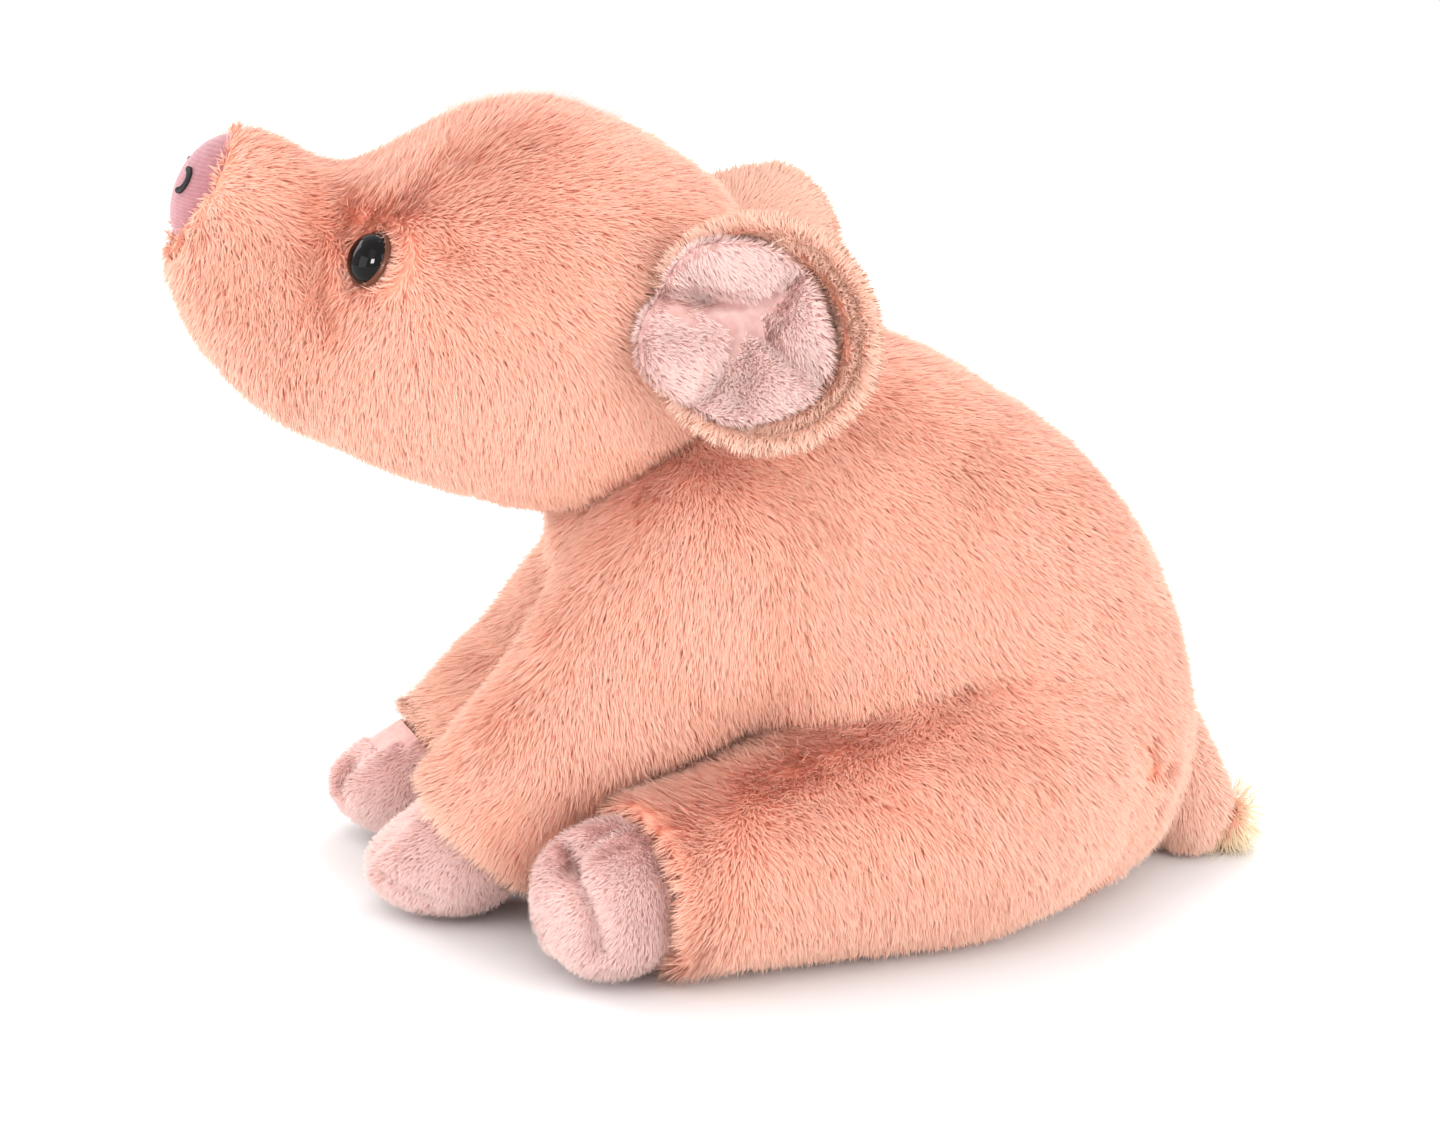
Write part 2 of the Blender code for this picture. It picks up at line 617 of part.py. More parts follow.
def ear_surface(radius_share, angle, lift):
    """Point of the cupped flap at a share of its outline, lifted off its rear surface."""
    half_length, half_width = EAR_LENGTH / 2.0, EAR_WIDTH / 2.0
    x = half_length - EAR_ROOT_SINK + radius_share * half_length * math.cos(angle)
    y = radius_share * half_width * math.sin(angle)
    return Vector((x, y, EAR_CUP * (radius_share ** 2 - 1.0) + lift))


def dished_solid(rear, front, ring_shares, segments, frame):
    """A thin solid between two dished surfaces that share an outline."""
    def surface(lift_at):
        rings = []
        for share in ring_shares:
            rings.append([frame @ ear_surface(share, a, lift_at(share, a))
                          for a in (2.0 * math.pi * k / segments for k in range(segments))])
        return rings
    rings = surface(rear) + surface(front)[::-1]
    poles = [frame @ ear_surface(0.0, 0.0, lift_at(0.0, 0.0)) for lift_at in (rear, front)]
    return loft(rings, poles[0], poles[1])


def ear_front_lift(share, angle):
    """Thickness of the furred back: thin under the lining and rolled at the rim."""
    if share <= LINING_SHARE:
        return EAR_THICKNESS
    across = (share - LINING_SHARE) / (1.0 - LINING_SHARE)
    rolled = (EAR_RIM_THICKNESS - EAR_THICKNESS) * math.sqrt(math.sin(math.pi * across))
    return EAR_THICKNESS + rolled - EAR_THICKNESS / 2.0 * across


def ear_rear_lift(share, angle):
    if share <= LINING_SHARE:
        return 0.0
    across = (share - LINING_SHARE) / (1.0 - LINING_SHARE)
    return EAR_THICKNESS / 2.0 * across ** 2


def lining_rear_lift(share, angle):
    return EAR_THICKNESS + SEAM_GAP


def lining_front_lift(share, angle):
    """The lining's face, gathered in soft folds that run out from the root."""
    folds = math.cos(LINING_FOLDS * angle) * math.sin(math.pi * share / LINING_SHARE)
    middle_share = 1.0 - (share / LINING_SHARE) ** LINING_EDGE_POWER
    thickness = LINING_THICKNESS * (LINING_EDGE_SHARE + (1.0 - LINING_EDGE_SHARE) * middle_share)
    return EAR_THICKNESS + SEAM_GAP + thickness + LINING_FOLD / 2.0 * folds


def build_ear(head, side, materials, head_clearance, body_clearance):
    frame = ear_frame(head, side)
    pivot = frame.translation
    back = new_piece(f"ear_back_{side}", *dished_solid(
        ear_rear_lift, ear_front_lift, EAR_RING_SHARES, EAR_SEGMENTS, frame), materials["fur"], pivot)
    new_piece(f"ear_lining_{side}", *dished_solid(
        lining_rear_lift, lining_front_lift, LINING_RING_SHARES, EAR_SEGMENTS, frame),
        materials["lining"], pivot)
    axis = frame.to_3x3() @ Vector((0.0, 1.0, 0.0)) * SIDES[side]
    for larger in (head_clearance, body_clearance):
        cut_by_sweep(back, larger, pivot, axis, EAR_RANGE)


# Legs and hooves
def limb_frame(start, end):
    """Local Z runs down the limb, X is level and outward, and Y is up."""
    along = (end - start).normalized()
    level = Vector((0.0, 0.0, 1.0)).cross(along).normalized()
    up = along.cross(level)
    turn = Matrix((level, up, along)).transposed().to_4x4()
    return Matrix.Translation(start) @ turn


def limb_form(start, end, row_shares, top_share, height, width, fullness):
    """A limb that tapers to a flat end, where its hoof is sewn on."""
    frame = limb_frame(start, end)
    length = (end - start).length
    rows = []
    for along, half_height, half_width in smooth_rows(row_shares):
        points = ring(Vector((0.0, 0.0, along * length)), Vector((half_width * width, 0.0, 0.0)),
                      Vector((0.0, half_height * height, 0.0)), LEG_SEGMENTS, fullness)
        rows.append([frame @ p for p in points])
    return loft(rows, frame @ Vector((0.0, 0.0, top_share * length)), None)


def hoof_form(end, along, length, height, width, droop):
    """A soft hoof that caps the limb, with the cleft between its two toes."""
    turn = limb_frame(Vector(), along).to_3x3()
    frame = Matrix.Translation(end) @ turn.to_4x4()

    def dent(depth):
        def shape(angle):
            toward_cleft = math.atan2(math.sin(angle - math.pi / 2.0), math.cos(angle - math.pi / 2.0))
            under = math.atan2(math.sin(angle + math.pi / 2.0), math.cos(angle + math.pi / 2.0))
            deep = (math.exp(-(toward_cleft / CLEFT_ANGLE) ** 2)
                    + CLEFT_UNDER_SHARE * math.exp(-(under / CLEFT_ANGLE) ** 2))
            return 1.0 - CLEFT_DEPTH_SHARE * depth * deep
        return shape

    rows = []
    for along_share, half_height, half_width, cleft in smooth_rows(HOOF_ROW_SHARES):
        reach = along_share * length
        drop = -math.tan(droop) * reach * along_share
        points = ring(Vector((0.0, drop, SEAM_GAP + reach)), Vector((half_width * width, 0.0, 0.0)),
                      Vector((0.0, half_height * height, 0.0)), HOOF_SEGMENTS, LIMB_FULLNESS, dent(cleft))
        rows.append([frame @ p for p in points])
    tip = frame @ Vector((0.0, -math.tan(droop) * length, SEAM_GAP + length))
    return loft(rows, None, tip)


def leg_hinge(name, side):
    """Pivot and axis of a leg: the front ones swing forward and the rear ones splay outward."""
    direction = SIDES[side]
    if name == "front":
        pivot = Vector((-SHOULDER_FORWARD[side], direction * SHOULDER_SPREAD, SHOULDER_RISE))
        return pivot, Vector((0.0, 1.0, 0.0))
    pivot = Vector((-REAR_CREASE_FORWARD, direction * REAR_CREASE_SPREAD, HIP_RISE))
    return pivot, Vector((0.0, 0.0, -direction))


def build_leg(name, side, start, end, limb_rows, top_share, limb_size, hoof_size, droop, limits,
              materials, larger_forms, floor):
    """A stuffed leg cut by the larger forms that it turns against, with its hoof."""
    pivot, axis = leg_hinge(name, side)
    leg = new_piece(f"{name}_leg_{side}", *limb_form(start, end, limb_rows, top_share, *limb_size),
                    materials["fur"], pivot)
    hoof = new_piece(f"{name}_hoof_{side}", *hoof_form(end, end - start, *hoof_size, droop),
                     materials["hoof"], pivot)
    for larger in larger_forms:
        cut_by_sweep(leg, larger, pivot, axis, limits)
    for piece in (leg, hoof):
        cut(piece, floor)


def build_legs(materials, body_clearance, head_clearance, floor):
    for side, direction in SIDES.items():
        shoulder = leg_hinge("front", side)[0]
        build_leg("front", side, shoulder,
                  Vector((-FRONT_FOOT_FORWARD, direction * FRONT_FOOT_SPREAD, FRONT_FOOT_RISE)),
                  FRONT_LEG_ROW_SHARES, FRONT_LEG_TOP_SHARE,
                  (FRONT_LEG_HEIGHT, FRONT_LEG_WIDTH, LIMB_FULLNESS),
                  (FRONT_HOOF_LENGTH, FRONT_HOOF_HEIGHT, FRONT_HOOF_WIDTH), FRONT_HOOF_DROOP, FRONT_LEG_RANGE,
                  materials, (body_clearance, head_clearance), floor)
        build_leg("rear", side,
                  Vector((-HIP_FORWARD, direction * HIP_SPREAD, HIP_RISE)),
                  Vector((-REAR_FOOT_FORWARD, direction * REAR_FOOT_SPREAD, REAR_FOOT_RISE)),
                  REAR_LEG_ROW_SHARES, REAR_LEG_TOP_SHARE,
                  (REAR_LEG_HEIGHT, REAR_LEG_WIDTH, REAR_LEG_FULLNESS),
                  (REAR_HOOF_LENGTH, REAR_HOOF_HEIGHT, REAR_HOOF_WIDTH), REAR_HOOF_DROOP, REAR_LEG_RANGE,
                  materials, (body_clearance,), floor)


# Tail
def lobe_form(frame, row_shares, length, width, closed_start):
    """A rounded lobe down the frame's Z axis."""
    rows = []
    for along, half_depth, half_width in smooth_rows(row_shares):
        points = ring(Vector((0.0, 0.0, along * length)), Vector((half_width * width, 0.0, 0.0)),
                      Vector((0.0, half_depth * width, 0.0)), TAIL_SEGMENTS)
        rows.append([frame @ p for p in points])
    start = frame @ Vector((0.0, 0.0, 2.0 * row_shares[0][0] * length)) if closed_start else None
    return loft(rows, start, frame @ Vector((0.0, 0.0, length)))


def build_tail(materials, body_clearance):
    """The tail, which hangs against the rump, and the tuft of longer fibres on its tip."""
    pivot = Vector((-TAIL_FORWARD, 0.0, TAIL_RISE))
    down = Vector((math.sin(TAIL_LEAN), 0.0, -math.cos(TAIL_LEAN)))
    frame = limb_frame(pivot, pivot + down)
    vertices, faces = lobe_form(frame, TAIL_ROW_SHARES, TAIL_LENGTH, TAIL_WIDTH, True)
    tail = new_piece("tail", vertices, faces, materials["fur"], pivot)
    cut_by_sweep(tail, body_clearance, pivot, Vector(TAIL_AXIS), TAIL_RANGE)
    tip = frame @ Matrix.Translation((0.0, TAIL_WIDTH / 2.0 - TUFT_SINK, TUFT_PLACE_SHARE * TAIL_LENGTH))
    tuft_frame = tip @ Matrix.Rotation(-TUFT_LEAN, 4, 'X')
    tuft = new_piece("tail_tuft", *lobe_form(tuft_frame, TUFT_ROW_SHARES, TUFT_LENGTH, TUFT_WIDTH, False),
                     materials["tuft"], pivot)
    cut(tuft, as_cutter("tail_clearance", grown(vertices, faces, SEAM_GAP), faces))


def main():
    clear_scene()
    materials = {
        "fur": fabric("fur", (0.93, 0.46, 0.33)),
        "stuffing": fabric("stuffing", (0.92, 0.91, 0.88)),
        "nose": fabric("nose_knit", (0.74, 0.36, 0.42), 0.85),
        "thread": fabric("thread", (0.02, 0.02, 0.025), 0.7),
        "eye": fabric("eye_plastic", (0.006, 0.005, 0.005), 0.06),
        "washer": fabric("washer_plastic", (0.80, 0.80, 0.78), 0.5),
        "lining": fabric("lining", (0.80, 0.53, 0.50)),
        "hoof": fabric("hoof_plush", (0.78, 0.55, 0.53)),
        "tuft": fabric("tuft_fibre", (0.95, 0.76, 0.52)),
    }
    reach = BODY_LENGTH + HEAD_LENGTH
    floor = as_cutter("floor_slab", *turned_solid(
        ((0.0, 0.0), (reach, 0.0), (reach, -BODY_HEIGHT), (0.0, -BODY_HEIGHT)), ROUND_SEGMENTS,
        Matrix.Identity(4)))
    body_clearance = build_body(materials, floor)
    head_clearance = build_head(materials, body_clearance)
    for side in SIDES:
        build_ear(head_frame(), side, materials, head_clearance, body_clearance)
    build_legs(materials, body_clearance, head_clearance, floor)
    build_tail(materials, body_clearance)


main()
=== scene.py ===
"""Sitting plush pig: stuffed skins, their pile, the eyes, the nose pad and the tail's tuft."""
import json
import math

import bpy
import numpy as np
from mathutils import Matrix, Vector
from mathutils.bvhtree import BVHTree


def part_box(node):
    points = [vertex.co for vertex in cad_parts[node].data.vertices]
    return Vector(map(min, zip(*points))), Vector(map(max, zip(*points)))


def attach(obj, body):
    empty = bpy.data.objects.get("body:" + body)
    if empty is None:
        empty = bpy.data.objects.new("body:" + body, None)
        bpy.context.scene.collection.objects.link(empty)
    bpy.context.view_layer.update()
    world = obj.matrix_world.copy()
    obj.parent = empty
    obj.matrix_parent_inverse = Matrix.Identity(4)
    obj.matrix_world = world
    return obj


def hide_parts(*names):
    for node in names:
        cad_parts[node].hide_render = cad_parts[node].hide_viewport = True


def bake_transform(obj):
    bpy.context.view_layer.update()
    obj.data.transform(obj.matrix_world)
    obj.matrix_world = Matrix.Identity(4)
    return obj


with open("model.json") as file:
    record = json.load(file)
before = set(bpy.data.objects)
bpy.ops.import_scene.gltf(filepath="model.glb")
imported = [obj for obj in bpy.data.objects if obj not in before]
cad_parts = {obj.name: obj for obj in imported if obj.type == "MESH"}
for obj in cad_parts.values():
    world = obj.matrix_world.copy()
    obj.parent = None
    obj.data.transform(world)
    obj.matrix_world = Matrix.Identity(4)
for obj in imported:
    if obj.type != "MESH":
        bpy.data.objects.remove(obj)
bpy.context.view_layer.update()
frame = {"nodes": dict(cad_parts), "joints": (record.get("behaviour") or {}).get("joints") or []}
bpy.ops.object.select_all(action='DESELECT')

SIDES = {"left": -1.0, "right": 1.0}

# Pile: length and width of a fibre, fibres to the square metre, and the most fibres in one mesh
FUR_LENGTH = 0.0062
FUR_WIDTH = 0.00043
FUR_PER_AREA = 4.15e6
PLUSH_LENGTH = 0.0026
PLUSH_WIDTH = 0.00040
PLUSH_PER_AREA = 5.7e6
PIECE_STRANDS = 95000
FLOOR_CLEARANCE = 0.0004

# Where one skin covers another, in metres: sunk into it, touching it, or laid along it
SUNK, TOUCHING, LAID = 0.0004, 0.0009, 0.0018

# A fibre's slim kite: share of its length at its widest, and half its spread over the tones
KITE_WAIST = 0.45
TONE_SPREAD = 0.008

# Lines of the head, as the solids have them
HEAD_PITCH = math.radians(16.5)
HEAD_TURN = math.radians(8.0)
EYE_YAW = math.radians(65.0)
EYE_TILT = math.radians(10.0)
EYE_RADIUS = 0.0076
EYE_BULGE = 0.0052
NOSE_RADIUS = 0.0160
NOSE_BULGE = 0.0100
NOSE_TILT = math.radians(8.0)
NOSE_TURN = math.radians(5.0)
NOSE_REACH = 0.0940
NOSE_RISE = -0.0025
NOSTRIL_OFFSET = 0.0072
NOSTRIL_SIZE = (0.0028, 0.0039)
NOSTRIL_SWEEP = math.radians(205.0)
NOSTRIL_SHIFT = {"left": -0.0010, "right": 0.0024}
HEAD_MIDDLE = Vector((-0.1240, 0.0, 0.1600))
EAR_FLARE = {"left": math.radians(24.0), "right": math.radians(7.0)}
EAR_LEAN = {"left": math.radians(4.0), "right": math.radians(3.0)}
EAR_CUP = 0.0075
RIM_ROLL = {"left": 0.0024, "right": 0.0004}
RIM_SECTORS = 36
LINING_RISE = 0.0030
FAR_EAR_STRETCH = 1.04
EAR_HALF = (0.030, 0.0285)     # half length and half width of an ear
EAR_MIDDLE = 0.028             # its middle, ahead of its root

# The photograph's frame and the camera that fits it
PHOTO_WIDTH, PHOTO_HEIGHT = 1440, 1129
CAMERA_TURN = math.radians(16.0)
CAMERA_RISE = math.radians(16.0)
CAMERA_ROLL = math.radians(4.2)
CAMERA_DISTANCE = 0.930
LENS, SENSOR = 85.0, 36.0
LOOK_AT = Vector((-0.075, 0.0, 0.087))
FLOOR_RADIUS = 1.35

random = np.random.default_rng(11)
LATTICE = random.uniform(-1.0, 1.0, (32, 32, 32, 3))


# Camera
def camera_axes():
    turn, rise, roll = CAMERA_TURN, CAMERA_RISE, CAMERA_ROLL
    ahead = Vector((math.sin(turn) * math.cos(rise), math.cos(turn) * math.cos(rise), -math.sin(rise)))
    level = Vector((math.cos(turn), -math.sin(turn), 0.0))
    upright = level.cross(ahead)
    across = level * math.cos(roll) + upright * math.sin(roll)
    up = upright * math.cos(roll) - level * math.sin(roll)
    return across, up, ahead


ACROSS, UP, AHEAD = camera_axes()
EYE_POINT = LOOK_AT - AHEAD * CAMERA_DISTANCE


def place_camera():
    data = bpy.data.cameras.new("camera")
    data.lens = LENS
    data.sensor_width = SENSOR
    data.sensor_fit = 'HORIZONTAL'
    camera = bpy.data.objects.new("camera", data)
    bpy.context.scene.collection.objects.link(camera)
    turn = Matrix((ACROSS, UP, -AHEAD)).transposed().to_4x4()
    camera.matrix_world = Matrix.Translation(EYE_POINT) @ turn
    bpy.context.scene.camera = camera


def seen_point(tree, x, y):
    """The point of a skin that the photograph shows at a pixel."""
    focal = LENS / SENSOR * PHOTO_WIDTH
    ray = AHEAD + ACROSS * ((x - PHOTO_WIDTH / 2.0) / focal) + UP * ((PHOTO_HEIGHT / 2.0 - y) / focal)
    return tree.ray_cast(EYE_POINT, ray.normalized())[0]


# Materials
def new_material(name, roughness, sheen=0.0, sheen_tint=(1.0, 1.0, 1.0)):
    material = bpy.data.materials.new(name)
    material.use_nodes = True
    shader = material.node_tree.nodes["Principled BSDF"]
    shader.inputs["Roughness"].default_value = roughness
    shader.inputs["Specular IOR Level"].default_value = 0.2
    if sheen:
        shader.inputs["Sheen Weight"].default_value = sheen
        shader.inputs["Sheen Roughness"].default_value = 0.5
        shader.inputs["Sheen Tint"].default_value = (*sheen_tint, 1.0)
    return material, material.node_tree, shader


def pile_group():
    """Colour of a fibre from its root to its tip, lighter or darker from tuft to tuft, and darker with
    painted shade along creases.
    """
    group = bpy.data.node_groups.new("pile_colour", 'ShaderNodeTree')
    group.interface.new_socket("Place", in_out='INPUT', socket_type='NodeSocketVector')
    for name in ("Root", "Middle", "Tip", "Shade"):
        group.interface.new_socket(name, in_out='INPUT', socket_type='NodeSocketColor')
    group.interface.new_socket("Color", in_out='OUTPUT', socket_type='NodeSocketColor')
    nodes, links = group.nodes, group.links
    source = nodes.new('NodeGroupInput')
    out = nodes.new('NodeGroupOutput')
    split = nodes.new('ShaderNodeSeparateXYZ')
    links.new(source.outputs["Place"], split.inputs[0])
    steps = []
    for low, high in ((0.0, 0.55), (0.50, 1.0)):
        step = nodes.new('ShaderNodeMapRange')
        step.interpolation_type = 'SMOOTHSTEP'
        step.inputs["From Min"].default_value = low
        step.inputs["From Max"].default_value = high
        links.new(split.outputs["Y"], step.inputs["Value"])
        steps.append(step.outputs["Result"])

    def blended(factor, first, second):
        mix = nodes.new('ShaderNodeMix')
        mix.data_type = 'RGBA'
        links.new(factor, mix.inputs["Factor"])
        links.new(first, mix.inputs["A"])
        links.new(second, mix.inputs["B"])
        return mix.outputs["Result"]

    lower = blended(steps[0], source.outputs["Root"], source.outputs["Middle"])
    along = blended(steps[1], lower, source.outputs["Tip"])
    shade = nodes.new('ShaderNodeMix')
    shade.data_type = 'RGBA'
    shade.blend_type = 'MULTIPLY'
    invert = nodes.new('ShaderNodeMath')
    invert.operation = 'SUBTRACT'
    invert.inputs[0].default_value = 1.0
    links.new(split.outputs["X"], invert.inputs[1])
    links.new(invert.outputs[0], shade.inputs["Factor"])
    links.new(along, shade.inputs["A"])
    links.new(source.outputs["Shade"], shade.inputs["B"])
    links.new(shade.outputs["Result"], out.inputs["Color"])
    return group


PILE_GROUP = pile_group()


def pile_material(name, root, middle, tip, shade, sheen, sheen_tint):
    material, tree, shader = new_material(name, 0.85, sheen, sheen_tint)
    place = tree.nodes.new('ShaderNodeUVMap')
    place.uv_map = "OFBake"
    group = tree.nodes.new('ShaderNodeGroup')
    group.node_tree = PILE_GROUP
    tree.links.new(place.outputs["UV"], group.inputs["Place"])
    for socket, colour in (("Root", root), ("Middle", middle), ("Tip", tip), ("Shade", shade)):
        group.inputs[socket].default_value = (*colour, 1.0)
    tree.links.new(group.outputs["Color"], shader.inputs["Base Color"])
    return material


def cloth_material(name, first, second, size, bump, roughness=0.95):
    """Woven or knitted backing, mottled between two colours."""
    material, tree, shader = new_material(name, roughness)
    place = tree.nodes.new('ShaderNodeTexCoord')
    mottle = tree.nodes.new('ShaderNodeTexNoise')
    mottle.inputs["Scale"].default_value = 1.0 / size
    mottle.inputs["Detail"].default_value = 4.0
    ramp = tree.nodes.new('ShaderNodeValToRGB')
    ramp.color_ramp.elements[0].position = 0.35
    ramp.color_ramp.elements[0].color = (*first, 1.0)
    ramp.color_ramp.elements[1].position = 0.65
    ramp.color_ramp.elements[1].color = (*second, 1.0)
    tree.links.new(place.outputs["Object"], mottle.inputs["Vector"])
    tree.links.new(mottle.outputs["Fac"], ramp.inputs["Fac"])
    tree.links.new(ramp.outputs["Color"], shader.inputs["Base Color"])
    relief = tree.nodes.new('ShaderNodeBump')
    relief.inputs["Strength"].default_value = 0.6
    relief.inputs["Distance"].default_value = bump
    tree.links.new(mottle.outputs["Fac"], relief.inputs["Height"])
    tree.links.new(relief.outputs["Normal"], shader.inputs["Normal"])
    return material


def knit_material():
    """Fine ribbed knit of the nose pad."""
    material, tree, shader = new_material("nose_knit", 0.8, 0.55, (1.0, 0.84, 0.88))
    place = tree.nodes.new('ShaderNodeTexCoord')
    ribs = tree.nodes.new('ShaderNodeTexWave')
    ribs.bands_direction = 'Z'
    ribs.inputs["Scale"].default_value = 330.0
    ribs.inputs["Distortion"].default_value = 1.2
    ribs.inputs["Detail"].default_value = 1.0
    mottle = tree.nodes.new('ShaderNodeTexNoise')
    mottle.inputs["Scale"].default_value = 420.0
    ramp = tree.nodes.new('ShaderNodeValToRGB')
    ramp.color_ramp.elements[0].color = (0.33, 0.115, 0.135, 1.0)
    ramp.color_ramp.elements[1].color = (0.47, 0.20, 0.22, 1.0)
    joined = tree.nodes.new('ShaderNodeMath')
    joined.operation = 'MULTIPLY_ADD'
    joined.inputs[1].default_value = 0.45
    relief = tree.nodes.new('ShaderNodeBump')
    relief.inputs["Strength"].default_value = 0.5
    relief.inputs["Distance"].default_value = 0.0003
    tree.links.new(place.outputs["Object"], ribs.inputs["Vector"])
    tree.links.new(place.outputs["Object"], mottle.inputs["Vector"])
    tree.links.new(ribs.outputs["Fac"], joined.inputs[0])
    tree.links.new(mottle.outputs["Fac"], joined.inputs[2])
    tree.links.new(joined.outputs[0], ramp.inputs["Fac"])
    tree.links.new(joined.outputs[0], relief.inputs["Height"])
    tree.links.new(ramp.outputs["Color"], shader.inputs["Base Color"])
    tree.links.new(relief.outputs["Normal"], shader.inputs["Normal"])
    return material


def plain_material(name, colour, roughness, specular=0.5):
    """A moulded or spun surface with a faint unevenness."""
    material, tree, shader = new_material(name, roughness)
    shader.inputs["Specular IOR Level"].default_value = specular
    place = tree.nodes.new('ShaderNodeTexCoord')
    mottle = tree.nodes.new('ShaderNodeTexNoise')
    mottle.inputs["Scale"].default_value = 900.0
    ramp = tree.nodes.new('ShaderNodeValToRGB')
    ramp.color_ramp.elements[0].color = (*(c * 0.8 for c in colour), 1.0)
    ramp.color_ramp.elements[1].color = (*(min(1.0, c * 1.2) for c in colour), 1.0)
    tree.links.new(place.outputs["Object"], mottle.inputs["Vector"])
    tree.links.new(mottle.outputs["Fac"], ramp.inputs["Fac"])
    tree.links.new(ramp.outputs["Color"], shader.inputs["Base Color"])
    return material


FUR = pile_material("fur_pile", (0.98, 0.40, 0.27), (1.0, 0.52, 0.385), (1.0, 0.68, 0.54),
                    (0.98, 0.70, 0.60), 0.4, (1.0, 0.86, 0.74))
PLUSH = pile_material("mauve_pile", (0.84, 0.47, 0.42), (0.97, 0.66, 0.61), (1.0, 0.79, 0.74),
                      (0.86, 0.72, 0.70), 0.35, (1.0, 0.90, 0.87))
TUFT = pile_material("tuft_pile", (0.98, 0.72, 0.48), (1.0, 0.82, 0.56), (1.0, 0.90, 0.70),
                     (0.97, 0.90, 0.80), 0.2, (1.0, 0.95, 0.8))
FUR_BACKING = cloth_material("fur_backing", (0.92, 0.40, 0.27), (0.98, 0.47, 0.33), 0.004, 0.0004)
PLUSH_BACKING = cloth_material("mauve_backing", (0.72, 0.44, 0.40), (0.80, 0.52, 0.48), 0.003, 0.0004)
KNIT = knit_material()
THREAD = plain_material("black_thread", (0.012, 0.011, 0.014), 0.6)
GLOSS = plain_material("eye_gloss", (0.004, 0.003, 0.003), 0.05, 0.18)
RIM = plain_material("eye_rim_brown", (0.13, 0.04, 0.02), 0.35, 0.2)
WASHER = plain_material("washer_white", (0.80, 0.80, 0.78), 0.5)


# Skins
class Skin:
    """A piece's points and normals, with a tree for finding its surface."""

    def __init__(self, piece):
        self.piece = piece
        self.read()

    def read(self):
        mesh = self.piece.data
        count = len(mesh.vertices)
        self.points = np.empty(count * 3, np.float32)
        mesh.vertices.foreach_get("co", self.points)
        self.points = self.points.reshape(-1, 3).astype(float)
        self.normals = np.empty(count * 3, np.float32)
        mesh.vertex_normals.foreach_get("vector", self.normals)
        self.normals = self.normals.reshape(-1, 3).astype(float)
        mesh.calc_loop_triangles()
        corners = np.empty(len(mesh.loop_triangles) * 3, np.int32)
        mesh.loop_triangles.foreach_get("vertices", corners)
        self.corners = corners.reshape(-1, 3)
        self.tree = BVHTree.FromPolygons(self.points.tolist(), self.corners.tolist())
        self.depth = 0.25 * np.ptp(self.points, axis=0).min()

    def write(self, points):
        self.piece.data.vertices.foreach_set("co", points.astype(np.float32).ravel())
        self.piece.data.update()
        self.read()


def select_only(piece):
    bpy.ops.object.select_all(action='DESELECT')
    piece.select_set(True)
    bpy.context.view_layer.objects.active = piece


def stuffed_skin(name, nodes, voxel, rounds, material):
    """One closed skin over the solids of these nodes."""
    copies = []
    for node in nodes:
        copy = bpy.data.objects.new(name, frame["nodes"][node].data.copy())
        copy.data.materials.clear()
        bpy.context.scene.collection.objects.link(copy)
        copies.append(copy)
    select_only(copies[0])
    for copy in copies[1:]:
        copy.select_set(True)
    if len(copies) > 1:
        bpy.ops.object.join()
    piece = copies[0]
    bpy.ops.object.mode_set(mode='EDIT')
    bpy.ops.mesh.select_all(action='SELECT')
    bpy.ops.mesh.remove_doubles(threshold=0.00001)
    bpy.ops.object.mode_set(mode='OBJECT')
    piece.data.remesh_voxel_size = voxel
    bpy.ops.object.voxel_remesh()
    smooth = piece.modifiers.new("smooth", 'SMOOTH')
    smooth.factor = 0.5
    smooth.iterations = rounds
    bpy.ops.object.modifier_apply(modifier=smooth.name)
    bpy.ops.object.shade_smooth()
    piece.name = name
    piece.data.materials.clear()
    piece.data.materials.append(material)
    return Skin(piece)


def distances(skin, other):
    """Signed distance of each point of a skin to another, and how far the two face each other."""
    apart = np.empty(len(skin.points))
    facing = np.empty(len(skin.points))
    for i, (point, normal) in enumerate(zip(skin.points, skin.normals)):
        place, other_normal, _, distance = other.tree.find_nearest(point)
        outside = (Vector(point) - place).dot(other_normal)
        apart[i] = distance if outside >= 0.0 else -distance
        facing[i] = other_normal.dot(normal)
    return apart, facing


def fill_joins(pairs):
    """Pad both skins out where they meet, so that one runs softly into the other."""
    moves = {}
    for first, second, reach in pairs:
        for skin, other in ((first, second), (second, first)):
            apart, _ = distances(skin, other)
            near = np.clip(1.0 - np.abs(apart) / reach, 0.0, 1.0)
            moves.setdefault(id(skin), [skin, np.zeros(len(skin.points))])
            moves[id(skin)][1] = np.maximum(moves[id(skin)][1], reach / 4.0 * near ** 2)
    for skin, amount in moves.values():
        points = skin.points + skin.normals * amount[:, None]
        points[:, 2] = np.maximum(points[:, 2], FLOOR_CLEARANCE)
        skin.write(points)


def drawn_over(joins, whole):
    """Lay skins on one smooth form near the places where they meet."""
    for skin, others, weigh in joins:
        weight = weigh(skin.points)
        near = np.full(len(skin.points), 1.0)
        for other in others:
            apart, facing = distances(skin, other)
            weight = weight * np.exp(-(np.minimum(apart, 0.0) / 0.003) ** 2)
            covered = ramp_between(-facing, 0.2, 0.7) * np.exp(-(apart / 0.0025) ** 2)
            weight = weight * (1.0 - covered)
            near = np.minimum(near, np.abs(apart))
        weight = weight * (1.0 - ramp_between(near, 0.030, 0.055))
        points = skin.points.copy()
        for i in np.nonzero(weight > 0.01)[0]:
            place = whole.tree.find_nearest(skin.points[i])[0]
            shift = np.array(place) - skin.points[i]
            points[i] += shift * weight[i] * min(1.0, 0.012 / max(np.linalg.norm(shift), 1e-9))
        points[:, 2] = np.maximum(points[:, 2], FLOOR_CLEARANCE)
        skin.write(points)


